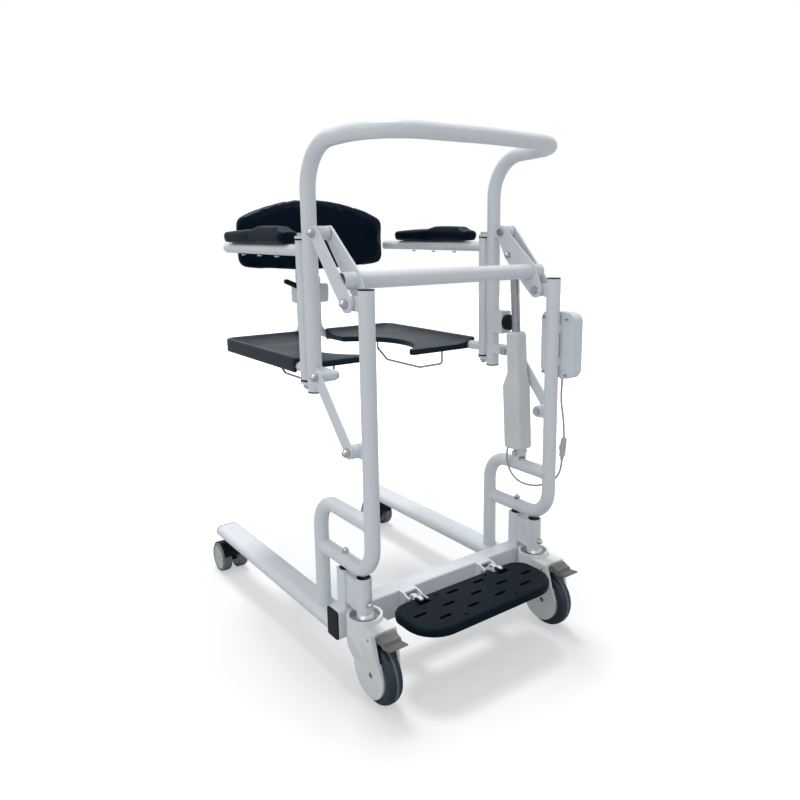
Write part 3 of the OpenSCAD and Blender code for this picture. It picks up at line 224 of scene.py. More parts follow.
def build_mottle():
    """Cloudy change of tone, with fine specks."""
    net, given, out = shader_group(
        "Mottle",
        [
            ("Colour", TONE, (1, 1, 1, 1)), ("Shade", TONE, (0.8, 0.8, 0.8, 1)),
            ("Scale", NUMBER, 12.0), ("Amount", NUMBER, 0.5), ("Specks", NUMBER, 0.1),
        ],
        [("Colour", TONE)],
    )
    place = net.add("ShaderNodeTexCoord").outputs["Object"]
    cloud = net.spread(net.noise(place, given["Scale"], 4.0), 0.35, 0.7)
    speck = net.spread(net.noise(place, 900.0, 1.0), 0.62, 0.75)
    share = net.math(
        "ADD", net.math("MULTIPLY", cloud, given["Amount"]),
        net.math("MULTIPLY", speck, given["Specks"]), clamp=True,
    )
    net.put(out["Colour"], net.mix(share, given["Colour"], given["Shade"]))


def build_skin():
    """Height of a moulded or painted skin: long waves, orange peel and fine grain."""
    net, given, out = shader_group(
        "Skin",
        [("Peel Scale", NUMBER, 300.0), ("Peel", NUMBER, 0.5),
         ("Grain Scale", NUMBER, 1500.0), ("Grain", NUMBER, 0.5)],
        [("Height", NUMBER)],
    )
    place = net.add("ShaderNodeTexCoord").outputs["Object"]
    peel = net.math("MULTIPLY", net.noise(place, given["Peel Scale"], 1.0), given["Peel"])
    cells = net.add("ShaderNodeTexVoronoi", feature="SMOOTH_F1")
    net.put(cells.inputs["Vector"], place)
    net.put(cells.inputs["Scale"], given["Grain Scale"])
    grain = net.math("MULTIPLY", cells.outputs["Distance"], given["Grain"])
    net.put(out["Height"], net.math("ADD", peel, grain))


def build_polish():
    """Roughness that wanders between two values, with faint rubbed streaks."""
    net, given, out = shader_group(
        "Polish",
        [("Low", NUMBER, 0.3), ("High", NUMBER, 0.4), ("Scale", NUMBER, 9.0),
         ("Streaks", NUMBER, 0.05)],
        [("Roughness", NUMBER)],
    )
    place = net.add("ShaderNodeTexCoord").outputs["Object"]
    field = net.spread(net.noise(place, given["Scale"], 5.0), 0.3, 0.7, given["Low"], given["High"])
    stretch = net.add("ShaderNodeMapping", vector_type="POINT")
    net.put(stretch.inputs["Vector"], place)
    stretch.inputs["Scale"].default_value = (1.0, 1.0, 22.0)
    rub = net.spread(net.noise(stretch.outputs[0], 26.0, 3.0), 0.58, 0.72)
    net.put(
        out["Roughness"],
        net.math("ADD", field, net.math("MULTIPLY", rub, given["Streaks"]), clamp=True),
    )


def build_dust():
    """Mask of the dust that settles on faces turned up."""
    net, given, out = shader_group(
        "Dust", [("Amount", NUMBER, 0.15), ("Scale", NUMBER, 30.0)], [("Mask", NUMBER)]
    )
    up = net.add("ShaderNodeSeparateXYZ")
    net.put(up.inputs[0], net.add("ShaderNodeNewGeometry").outputs["Normal"])
    place = net.add("ShaderNodeTexCoord").outputs["Object"]
    patch = net.spread(net.noise(place, given["Scale"], 5.0, 0.7), 0.4, 0.8)
    flat = net.spread(up.outputs["Z"], 0.5, 1.0)
    net.put(
        out["Mask"],
        net.math("MULTIPLY", net.math("MULTIPLY", flat, patch), given["Amount"], clamp=True),
    )


def build_wheel_zone():
    """Masks about a wheel's axle: the tread, and the groove round its middle."""
    net, given, out = shader_group(
        "Wheel Zone",
        [("Axle", POINT, (0, 0, 0)), ("Track", NUMBER, 0.232), ("Hub Radius", NUMBER, 0.045),
         ("Groove Width", NUMBER, 0.0048)],
        [("Tread", NUMBER), ("Groove", NUMBER)],
    )
    away = net.add("ShaderNodeVectorMath", operation="SUBTRACT")
    net.put(away.inputs[0], net.add("ShaderNodeTexCoord").outputs["Object"])
    net.put(away.inputs[1], given["Axle"])
    axes = net.add("ShaderNodeSeparateXYZ")
    net.put(axes.inputs[0], away.outputs[0])
    squares = net.math(
        "ADD", net.math("POWER", axes.outputs["Y"], 2.0), net.math("POWER", axes.outputs["Z"], 2.0)
    )
    radius = net.math("SQRT", squares)
    across = net.math("ABSOLUTE", axes.outputs["X"])
    off = net.math("ABSOLUTE", net.math("SUBTRACT", across, given["Track"]))
    net.put(out["Tread"], net.math("GREATER_THAN", radius, given["Hub Radius"]))
    net.put(
        out["Groove"],
        net.math(
            "MULTIPLY", net.math("LESS_THAN", off, net.math("MULTIPLY", given["Groove Width"], 0.5)),
            net.math("GREATER_THAN", radius, given["Hub Radius"]),
        ),
    )


# ---- Materials ----


def use(net, name, **values):
    node = net.add("ShaderNodeGroup", node_tree=bpy.data.node_groups[name])
    for label, value in values.items():
        net.put(node.inputs[label.replace("_", " ").title()], value)
    return node.outputs


def rgba(value):
    return (*value, 1.0)


def shade_of(value, share):
    return tuple(c * share for c in value)


def finish(name, tone, shade=None, low=0.3, high=0.42, metallic=0.0, cloud=(9.0, 0.35, 0.0),
           peel=(420.0, 0.5), grain=(1600.0, 0.3), depth=0.0002, strength=0.3, dust=0.0,
           streaks=0.04, coat=0.0, specular=0.5, gloss=(1.0, 1.0, 1.0),
           zones=None):
    """A material: mottled colour, wandering roughness and a bumpy skin, with dust on top."""
    material = bpy.data.materials.new(name)
    material.use_nodes = True
    net = Net(material.node_tree)
    shader = material.node_tree.nodes["Principled BSDF"]
    shade = shade or shade_of(tone, 0.82)
    base = use(net, "Mottle", colour=rgba(tone), shade=rgba(shade), scale=cloud[0],
               amount=cloud[1], specks=cloud[2])["Colour"]
    if zones:
        base = zones(net, base)
    if dust:
        mask = use(net, "Dust", amount=dust)["Mask"]
        base = net.mix(mask, base, rgba((0.42, 0.43, 0.44)))
    net.put(shader.inputs["Base Color"], base)
    net.put(
        shader.inputs["Roughness"],
        use(net, "Polish", low=low, high=high, streaks=streaks)["Roughness"],
    )
    skin = use(net, "Skin", peel_scale=peel[0], peel=peel[1], grain_scale=grain[0], grain=grain[1])
    bump = net.add("ShaderNodeBump")
    bump.inputs["Strength"].default_value = strength
    bump.inputs["Distance"].default_value = depth
    net.put(bump.inputs["Height"], skin["Height"])
    net.put(shader.inputs["Normal"], bump.outputs[0])
    shader.inputs["Metallic"].default_value = metallic
    shader.inputs["Coat Weight"].default_value = coat
    shader.inputs["Coat Roughness"].default_value = 0.12
    shader.inputs["Specular IOR Level"].default_value = specular
    shader.inputs["Specular Tint"].default_value = rgba(gloss)
    material.diffuse_color = rgba(tone)
    return material


def wheel_finish(name, tread, band, axle, hub_radius, grooved):
    """A wheel in two tones about its axle."""
    look = finishes()

    def zones(net, base):
        parts = use(net, "Wheel Zone", axle=tuple(axle), hub_radius=hub_radius)
        tone = net.mix(parts["Tread"], base, rgba(tread))
        return net.mix(parts["Groove"], tone, rgba(band)) if grooved else tone

    return finish(name, tuple(look.hub), low=0.38, high=0.5, grain=(1200.0, 0.4), zones=zones,
                  dust=0.06)


def build_materials():
    look = finishes()
    made = {}

    def keep(key, *args, **values):
        made[key] = finish(key, *args, **values)

    keep("powder_coat", tuple(look.powder_white), tuple(look.powder_shade), low=0.24, high=0.34,
         cloud=(6.0, 0.3, 0.05), peel=(520.0, 1.0), grain=(1500.0, 0.15), depth=0.00025,
         strength=0.22, coat=0.25, streaks=0.0)
    keep("box_moulding", tuple(look.box_white), low=0.34, high=0.42, grain=(1900.0, 0.8),
         depth=0.00015, dust=0.05)
    keep("fork_moulding", tuple(look.fork_white), low=0.33, high=0.45, grain=(1700.0, 0.6),
         depth=0.00015, dust=0.08)
    keep("actuator_moulding", tuple(look.actuator_grey), low=0.36, high=0.46,
         grain=(1500.0, 0.9), depth=0.0002, dust=0.05)
    keep("pad_skin", tuple(look.pad_black), shade_of(tuple(look.pad_black), 1.5), low=0.36,
         high=0.46, cloud=(14.0, 0.5, 0.15), peel=(240.0, 0.5), grain=(620.0, 1.0), depth=0.0004,
         strength=0.4, specular=0.1, gloss=(0.5, 0.75, 1.0))
    keep("seat_moulding", tuple(look.seat_grey), shade_of(tuple(look.seat_grey), 1.25), low=0.3,
         high=0.4, cloud=(8.0, 0.4, 0.1), grain=(900.0, 0.7), depth=0.00025, strength=0.3,
         specular=0.2, gloss=(0.55, 0.8, 1.0))
    keep("foot_moulding", tuple(look.foot_black), shade_of(tuple(look.foot_black), 1.5), low=0.4,
         high=0.52, cloud=(16.0, 0.5, 0.2), grain=(700.0, 1.0), depth=0.0004, strength=0.4,
         specular=0.08, gloss=(0.6, 0.85, 1.0))
    keep("black_moulding", tuple(look.black), shade_of(tuple(look.black), 1.6), low=0.38,
         high=0.5, grain=(1200.0, 0.6), depth=0.0002, specular=0.16)
    keep("pedal_moulding", tuple(look.pedal), low=0.42, high=0.55, cloud=(40.0, 0.5, 0.15),
         grain=(1100.0, 0.8), depth=0.0003, dust=0.08)
    keep("zinc", tuple(look.steel), shade_of(tuple(look.steel), 0.75), low=0.2, high=0.34,
         metallic=1.0, cloud=(60.0, 0.5, 0.1), peel=(700.0, 0.6), grain=(2500.0, 0.2),
         depth=0.0001, strength=0.2)
    keep("dark_steel", tuple(look.dark_steel), low=0.26, high=0.4, metallic=1.0,
         cloud=(60.0, 0.5, 0.1), grain=(2500.0, 0.2), depth=0.0001, strength=0.2)
    keep("wire", shade_of(tuple(look.steel), 0.8), low=0.26, high=0.36, metallic=0.9,
         cloud=(80.0, 0.5, 0.1), grain=(2500.0, 0.2), depth=0.0001, strength=0.2)
    keep("rod", shade_of(tuple(look.steel), 0.75), low=0.2, high=0.28, metallic=0.85,
         cloud=(30.0, 0.3, 0.0), grain=(2500.0, 0.2), depth=0.0001, strength=0.15)
    keep("lead_sheath", tuple(look.lead), low=0.42, high=0.52, cloud=(40.0, 0.4, 0.1),
         grain=(2200.0, 0.5), depth=0.0001)
    keep("plug_moulding", shade_of(tuple(look.lead), 1.25), low=0.4, high=0.5,
         grain=(1800.0, 0.6), depth=0.0001)
    front = middle("left_front_wheel")
    front_axle = Vector((MASTS.x, front.y, front.z))
    made["front_wheel"] = wheel_finish(
        "front_wheel", tuple(look.tyre), tuple(look.tyre_band), front_axle, 0.0445, True
    )
    rear = middle("left_rear_wheels")
    made["rear_wheel"] = wheel_finish(
        "rear_wheel", tuple(look.tyre_band), tuple(look.tyre_band), Vector((MASTS.x, rear.y, rear.z)),
        0.0305, False,
    )
    return made


NODE_FINISHES = {
    "powder_coat": (
        "left_leg right_leg crossbeam left_mast right_mast left_rear_post right_rear_post "
        "left_caster_post right_caster_post actuator_bracket left_link right_link cross_tube "
        "lower_links lift_frame left_seat_frame right_seat_frame"
    ),
    "box_moulding": "control_box left_latch right_latch",
    "fork_moulding": "left_front_fork right_front_fork",
    "actuator_moulding": "actuator_body",
    "seat_moulding": "left_seat right_seat",
    "pad_skin": "left_arm_pad right_arm_pad backrest",
    "foot_moulding": "footplate",
    "black_moulding": (
        "black_plugs upright_plugs hinge_washers left_rear_fork right_rear_fork up_button "
        "down_button latch_lever link_bushes"
    ),
    "pedal_moulding": "left_brake_pedal right_brake_pedal",
    "zinc": "frame_bolts link_bolts lower_link_bolts hinge_bolts caster_stems footplate_hinges",
    "dark_steel": "left_front_pins right_front_pins left_rear_axle right_rear_axle",
    "wire": "left_bedpan_rail right_bedpan_rail",
    "rod": "actuator_rod",
    "lead_sheath": "lead",
    "plug_moulding": "lead_connector",
    "front_wheel": "left_front_wheel right_front_wheel",
    "rear_wheel": "left_rear_wheels right_rear_wheels",
}


def material(name):
    return bpy.data.materials[name]


# ---- Meshes ----


def new_piece(name, mesh, finish_name, body, smooth=True):
    """A finished piece at the origin that rides on a body."""
    piece = bpy.data.objects.new(name, mesh)
    bpy.context.scene.collection.objects.link(piece)
    if not mesh.materials:
        mesh.materials.append(material(finish_name))
    if smooth:
        mesh.polygons.foreach_set("use_smooth", [True] * len(mesh.polygons))
    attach(piece, body)
    return piece


def plain_mesh(piece):
    """The evaluated mesh of an object, with its modifiers in it."""
    bpy.context.view_layer.update()
    graph = bpy.context.evaluated_depsgraph_get()
    return bpy.data.meshes.new_from_object(piece.evaluated_get(graph))


def apply_all(piece):
    """Puts the modifiers of an object into its mesh."""
    mesh = plain_mesh(piece)
    piece.modifiers.clear()
    piece.data = mesh


def lathe(bm, profile, origin, axis, sides=32):
    """Adds a closed solid turned from (along, radius) points about an axis."""
    turn = Vector((0, 0, 1)).rotation_difference(Vector(axis).normalized()).to_matrix()
    rings = []
    for along, radius in profile:
        ring = []
        for k in range(sides):
            a = math.tau * k / sides
            rim = Vector((radius * math.cos(a), radius * math.sin(a), along))
            ring.append(bm.verts.new(origin + turn @ rim))
        rings.append(ring)
    for low, high in zip(rings, rings[1:]):
        for k in range(sides):
            j = (k + 1) % sides
            bm.faces.new((low[k], low[j], high[j], high[k]))
    bm.faces.new(reversed(rings[0]))
    bm.faces.new(rings[-1])


def ribbon(bm, line, width, thick):
    """Adds a flat bar of even thickness that follows a line in a side view."""
    rings = []
    for k, p in enumerate(line):
        way = (line[min(k + 1, len(line) - 1)] - line[max(k - 1, 0)]).normalized()
        up = way.cross(Vector((1, 0, 0))).normalized() * (thick / 2)
        half = Vector((width / 2, 0, 0))
        rings.append([bm.verts.new(p + a) for a in (-half - up, half - up, half + up, -half + up)])
    for low, high in zip(rings, rings[1:]):
        for k in range(4):
            bm.faces.new((low[k], low[(k + 1) % 4], high[(k + 1) % 4], high[k]))
    bm.faces.new(reversed(rings[0]))
    bm.faces.new(rings[-1])


def mesh_of(bm, name):
    bmesh.ops.recalc_face_normals(bm, faces=bm.faces)
    mesh = bpy.data.meshes.new(name)
    bm.to_mesh(mesh)
    bm.free()
    return mesh


# ---- Geometry node trees ----


def tree_with(name, inputs):
    """A geometry tree that ends in Realize Instances and Set Material."""
    tree = bpy.data.node_groups.new(name, "GeometryNodeTree")
    for label, kind, value in inputs:
        socket = tree.interface.new_socket(label, in_out="INPUT", socket_type=kind)
        if value is not None:
            socket.default_value = value
    tree.interface.new_socket("Geometry", in_out="OUTPUT", socket_type="NodeSocketGeometry")
    net = Net(tree)
    given = net.add("NodeGroupInput").outputs
    real, paint = net.add("GeometryNodeRealizeInstances"), net.add("GeometryNodeSetMaterial")
    smooth = net.add("GeometryNodeSetShadeSmooth")
    net.put(paint.inputs["Geometry"], real.outputs[0])
    net.put(paint.inputs["Material"], given["Material"])
    net.put(net.add("NodeGroupOutput").inputs[0], paint.outputs[0])
    net.put(real.inputs[0], smooth.outputs[0])
    return net, given, smooth.inputs["Geometry"]


def build_screw_tree():
    """A row of socket-headed screws."""
    net, given, result = tree_with(
        "Screw Row",
        [("Geometry", "NodeSocketGeometry", None), ("Count", "NodeSocketInt", 1),
         ("Start", POINT, (0, 0, 0)), ("Step", POINT, (0, 0, 0)), ("Turn", POINT, (0, 0, 0)),
         ("Radius", NUMBER, 0.005), ("Height", NUMBER, 0.003), ("Sides", "NodeSocketInt", 28),
         ("Material", "NodeSocketMaterial", None)],
    )
    row = net.add("GeometryNodeMeshLine", mode="OFFSET")
    for label, source in (("Count", "Count"), ("Start Location", "Start"), ("Offset", "Step")):
        net.put(row.inputs[label], given[source])
    head = net.add("GeometryNodeMeshCone")
    net.put(head.inputs["Vertices"], given["Sides"])
    net.put(head.inputs["Radius Bottom"], given["Radius"])
    net.put(head.inputs["Radius Top"], net.math("MULTIPLY", given["Radius"], 0.86))
    net.put(head.inputs["Depth"], given["Height"])
    rim = net.add("GeometryNodeExtrudeMesh", mode="FACES")
    net.put(rim.inputs["Mesh"], head.outputs["Mesh"])
    net.put(rim.inputs["Selection"], head.outputs["Top"])
    rim.inputs["Offset Scale"].default_value = 0.0
    shrink = net.add("GeometryNodeScaleElements")
    net.put(shrink.inputs["Geometry"], rim.outputs["Mesh"])
    net.put(shrink.inputs["Selection"], rim.outputs["Top"])
    shrink.inputs["Scale"].default_value = 0.52
    socket = net.add("GeometryNodeExtrudeMesh", mode="FACES")
    net.put(socket.inputs["Mesh"], shrink.outputs[0])
    net.put(socket.inputs["Selection"], rim.outputs["Top"])
    net.put(socket.inputs["Offset Scale"], net.math("MULTIPLY", given["Height"], -0.6))
    place = net.add("GeometryNodeInstanceOnPoints")
    net.put(place.inputs["Points"], row.outputs[0])
    net.put(place.inputs["Instance"], socket.outputs["Mesh"])
    net.put(place.inputs["Rotation"], given["Turn"])
    net.put(result, place.outputs[0])


def build_weld_tree():
    """Ripples of weld metal along the edges of the mesh that it is put on."""
    net, given, result = tree_with(
        "Weld Bead",
        [("Geometry", "NodeSocketGeometry", None), ("Bead", NUMBER, 0.0014),
         ("Pitch", NUMBER, 0.002), ("Material", "NodeSocketMaterial", None)],
    )
    path = net.add("GeometryNodeMeshToCurve")
    net.put(path.inputs[0], given["Geometry"])
    even = net.add("GeometryNodeResampleCurve", mode="LENGTH")
    net.put(even.inputs["Curve"], path.outputs[0])
    net.put(even.inputs["Length"], given["Pitch"])
    ripple = net.add("GeometryNodeMeshIcoSphere")
    net.put(ripple.inputs["Radius"], given["Bead"])
    ripple.inputs["Subdivisions"].default_value = 1
    place = net.add("GeometryNodeInstanceOnPoints")
    net.put(place.inputs["Points"], even.outputs[0])
    net.put(place.inputs["Instance"], ripple.outputs["Mesh"])
    net.put(result, place.outputs[0])


def build_rib_tree():
    """A row of round-backed ribs or rings."""
    net, given, result = tree_with(
        "Rib Row",
        [("Geometry", "NodeSocketGeometry", None), ("Count", "NodeSocketInt", 5),
         ("Start", POINT, (0, 0, 0)), ("Step", POINT, (0, 0, 0)), ("Turn", POINT, (0, 0, 0)),
         ("Radius", NUMBER, 0.001), ("Length", NUMBER, 0.03),
         ("Material", "NodeSocketMaterial", None)],
    )
    row = net.add("GeometryNodeMeshLine", mode="OFFSET")
    for label, source in (("Count", "Count"), ("Start Location", "Start"), ("Offset", "Step")):
        net.put(row.inputs[label], given[source])
    rib = net.add("GeometryNodeMeshCylinder")
    rib.inputs["Vertices"].default_value = 12
    net.put(rib.inputs["Radius"], given["Radius"])
    net.put(rib.inputs["Depth"], given["Length"])
    place = net.add("GeometryNodeInstanceOnPoints")
    net.put(place.inputs["Points"], row.outputs[0])
    net.put(place.inputs["Instance"], rib.outputs["Mesh"])
    net.put(place.inputs["Rotation"], given["Turn"])
    net.put(result, place.outputs[0])


def run_tree(tree_name, mesh, values):
    """The plain mesh that a geometry tree makes of a mesh, with its inputs set."""
    tree = bpy.data.node_groups[tree_name]
    carrier = bpy.data.objects.new("carrier", mesh)
    bpy.context.scene.collection.objects.link(carrier)
    modifier = carrier.modifiers.new("tree", "NODES")
    modifier.node_group = tree
    for item in tree.interface.items_tree:
        if item.in_out == "INPUT" and item.name in values:
            value = values[item.name]
            modifier[item.identifier] = list(value) if isinstance(value, (tuple, Vector)) else value
    made = plain_mesh(carrier)
    bpy.data.objects.remove(carrier)
    made.materials.clear()
    made.materials.append(values["Material"])
    made.polygons.foreach_set("material_index", [0] * len(made.polygons))
    return made


def joined(name, meshes):
    """One mesh out of several."""
    bm = bmesh.new()
    for mesh in meshes:
        bm.from_mesh(mesh)
    result = bpy.data.meshes.new(name)
    bm.to_mesh(result)
    bm.free()
    result.materials.append(meshes[0].materials[0])
    return result


TURN_TO = {
    "up": (0.0, 0.0, 0.0),
    "down": (math.pi, 0.0, 0.0),
    "left": (0.0, -math.pi / 2, 0.0),
    "across": (0.0, math.pi / 2, 0.0),
}


def screws(name, body, finish_name, rows, sides=28):
    """Rows of screws, each (start, step, count, radius, height, way), in one piece."""
    blank = bpy.data.meshes.new("blank")
    meshes = [
        run_tree("Screw Row", blank, {
            "Count": count, "Start": tuple(start), "Step": tuple(step), "Turn": TURN_TO[way],
            "Radius": radius, "Height": height, "Sides": sides,
            "Material": material(finish_name),
        })
        for start, step, count, radius, height, way in rows
    ]
    return new_piece(name, joined(name, meshes), finish_name, body, smooth=False)


def ribs(name, body, finish_name, rows):
    """Rows of ribs that lie across, each (start, step, count, radius, length), in one piece."""
    blank = bpy.data.meshes.new("blank")
    meshes = [
        run_tree("Rib Row", blank, {
            "Count": count, "Start": tuple(start), "Step": tuple(step), "Turn": TURN_TO["across"],
            "Radius": radius, "Length": long, "Material": material(finish_name),
        })
        for start, step, count, radius, long in rows
    ]
    return new_piece(name, joined(name, meshes), finish_name, body)


# ---- Weld paths ----

UP, DOWN = (0, 0, 1), (0, 0, -1)
BACK, FORWARD = (0, 1, 0), (0, -1, 0)
ACROSS = (1, 0, 0)


def ring_path(origin, radius, axis, steps=40):
    """A circle about an axis."""
    turn = Vector((0, 0, 1)).rotation_difference(Vector(axis)).to_matrix()
    return [
        origin + turn @ Vector((radius * math.cos(a), radius * math.sin(a), 0))
        for a in (math.tau * k / steps for k in range(steps))
    ]


def saddle_path(origin, along, radius, wall_axis, wall_radius, steps=48):
    """Where a tube that leaves origin along a direction comes out of a wider round tube."""
    along, wall_axis = Vector(along).normalized(), Vector(wall_axis).normalized()
    side = along.cross(wall_axis).normalized()
    up = side.cross(along).normalized()
    path = []
    for k in range(steps):
        a = math.tau * k / steps
        off = radius * (math.cos(a) * side + math.sin(a) * up)
        flat = off - wall_axis * off.dot(wall_axis)
        way = along - wall_axis * along.dot(wall_axis)
        # distance along the tube at which the point meets the wall
        b, c = flat.dot(way), flat.dot(flat) - wall_radius**2
        reach = (-b + math.sqrt(max(0.0, b * b - way.dot(way) * c))) / way.dot(way)
        path.append(origin + off + along * reach)
    return path


def square_path(centre, half, r=0.004):
    """A level square with clipped corners."""
    x0, y0, x1, y1 = centre.x - half, centre.y - half, centre.x + half, centre.y + half
    corners = [(x0 + r, y0), (x1 - r, y0), (x1, y0 + r), (x1, y1 - r), (x1 - r, y1),
               (x0 + r, y1), (x0, y1 - r), (x0, y0 + r)]
    return [Vector((x, y, centre.z)) for x, y in corners]


def welds(name, body, paths):
    """Weld beads along closed paths, in one piece."""
    mesh = bpy.data.meshes.new("paths")
    points, edges = [], []
    for path in paths:
        first = len(points)
        points += path
        edges += [(first + k, first + (k + 1) % len(path)) for k in range(len(path))]
    mesh.from_pydata(points, edges, [])
    made = run_tree("Weld Bead", mesh, {
        "Bead": sizes().weld_bead, "Pitch": sizes().weld_pitch, "Material": material("powder_coat"),
    })
    return new_piece(name, made, "powder_coat", body)


# ---- Pads ----


def swollen(name, node, body):
    """A padded piece in place of a CAD solid: remeshed, blown up as cloth and held near its shape."""
    size = sizes()
    bm = bmesh.new()
    bm.from_mesh(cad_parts[node].data)
    bmesh.ops.remove_doubles(bm, verts=bm.verts, dist=1e-5)
    mesh = bpy.data.meshes.new(name)
    bm.to_mesh(mesh)
    bm.free()
    pad = bpy.data.objects.new(name, mesh)
    bpy.context.scene.collection.objects.link(pad)
    remesh = pad.modifiers.new("even", "REMESH")
    remesh.mode, remesh.voxel_size = "VOXEL", size.pad_voxel
    soften = pad.modifiers.new("soften", "SMOOTH")
    soften.factor, soften.iterations = 0.5, 8
    apply_all(pad)
    mesh = pad.data
    start = [v.co - v.normal * size.pad_slack for v in mesh.vertices]
    for v, p in zip(mesh.vertices, start):
        v.co = p
    mesh.update()
    cloth = pad.modifiers.new("swell", "CLOTH")
    cloth.settings.quality = 5
    cloth.settings.mass = 0.4
    cloth.settings.tension_stiffness = cloth.settings.compression_stiffness = 25
    cloth.settings.bending_stiffness = 4
    cloth.settings.use_pressure = True
    cloth.settings.uniform_pressure_force = size.pad_pressure
    cloth.settings.effector_weights.gravity = 0
    cloth.point_cache.frame_start, cloth.point_cache.frame_end = 1, size.pad_frames
    for step in range(1, size.pad_frames + 1):
        bpy.context.scene.frame_set(step)
    blown = plain_mesh(pad)
    pad.modifiers.clear()
    bpy.context.scene.frame_set(1)
    for v, p, b in zip(mesh.vertices, start, blown.vertices):
        move = b.co - p
        if move.length > size.pad_swell:
            move *= size.pad_swell / move.length
        v.co = p + move
    mesh.update()
    calm = pad.modifiers.new("calm", "SMOOTH")
    calm.factor, calm.iterations = 0.5, 2
    finer = pad.modifiers.new("finer", "SUBSURF")
    finer.levels = finer.render_levels = 1
    apply_all(pad)
    pad.data.materials.clear()
    pad.data.materials.append(material("pad_skin"))
    pad.data.polygons.foreach_set("use_smooth", [True] * len(pad.data.polygons))
    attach(pad, body)
    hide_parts(node)
    return pad


def rounded(name, node, body, finish_name):
    """A moulding in place of a CAD solid, with its edges rounded off."""
    piece = bpy.data.objects.new(name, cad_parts[node].data.copy())
    bpy.context.scene.collection.objects.link(piece)
    remesh = piece.modifiers.new("even", "REMESH")
    remesh.mode, remesh.voxel_size = "VOXEL", sizes().seat_voxel
    soften = piece.modifiers.new("soften", "SMOOTH")
    soften.factor, soften.iterations = 0.5, 14
    apply_all(piece)
    piece.data.materials.clear()
    piece.data.materials.append(material(finish_name))
    piece.data.polygons.foreach_set("use_smooth", [True] * len(piece.data.polygons))
    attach(piece, body)
    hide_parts(node)
    return piece


# ---- Lead ----

LEAD_ROUTE = [
    (268, -2, 573), (268, -2, 560), (268, -1, 545), (268, -1, 530), (267, -3, 515),
    (267, -6, 500), (266, -10, 485), (265, -13, 470), (264, -15, 455), (264, -16, 440),
    (263, -15, 425), (263, -14, 405), (262, -13, 385), (262, -11, 370), (262, -6, 355),
    (261, 2, 342), (258, 12, 332), (251, 21, 325), (240, 32, 320), (230, 46, 318),
    (222, 62, 319), (217, 80, 324), (214, 96, 335), (213, 107, 350), (213, 113, 366),
    (214, 115, 381), (215, 114, 394),
]
CONNECTOR_TOP, CONNECTOR_LOW = 9, 12


def smooth_route(points, steps=5):
    """A smooth curve through the points of a route."""
    route = [at(*p) for p in points]
    line = []
    for i in range(len(route) - 1):
        a, b = route[max(i - 1, 0)], route[i]
        c, d = route[i + 1], route[min(i + 2, len(route) - 1)]
        for k in range(steps):
            t = k / steps
            line.append(
                0.5 * (2 * b + (c - a) * t + (2 * a - 5 * b + 4 * c - d) * t**2
                       + (3 * b - a - 3 * c + d) * t**3)
            )
    line.append(route[-1])
    return line


def tube_curve(name, line, radius, finish_name):
    """A round wire or cord along a line."""
    curve = bpy.data.curves.new(name, "CURVE")
    curve.dimensions = "3D"
    curve.bevel_depth, curve.bevel_resolution = radius, 4
    curve.use_fill_caps = True
    spline = curve.splines.new("POLY")
    spline.points.add(len(line) - 1)
    for point, p in zip(spline.points, line):
        point.co = (*p, 1.0)
    curve.materials.append(material(finish_name))
    piece = bpy.data.objects.new(name, curve)
    bpy.context.scene.collection.objects.link(piece)
    return piece


# ---- Operators ----


class LIFT_OT_finishes(Operator):
    """Gives every part of the lift its finish"""

    bl_idname = "lift.finishes"
    bl_label = "Finishes"

    def execute(self, context):
        for build in (build_mottle, build_skin, build_polish, build_dust, build_wheel_zone):
            build()
        for build in (build_screw_tree, build_weld_tree, build_rib_tree):
            build()
        made = build_materials()
        dressed = set()
        for name, nodes in NODE_FINISHES.items():
            for node in nodes.split():
                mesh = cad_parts[node].data
                mesh.materials.clear()
                mesh.materials.append(made[name])
                dressed.add(node)
        left = set(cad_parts) - dressed
        if left:
            raise RuntimeError(f"no finish for {sorted(left)}")
        return {"FINISHED"}


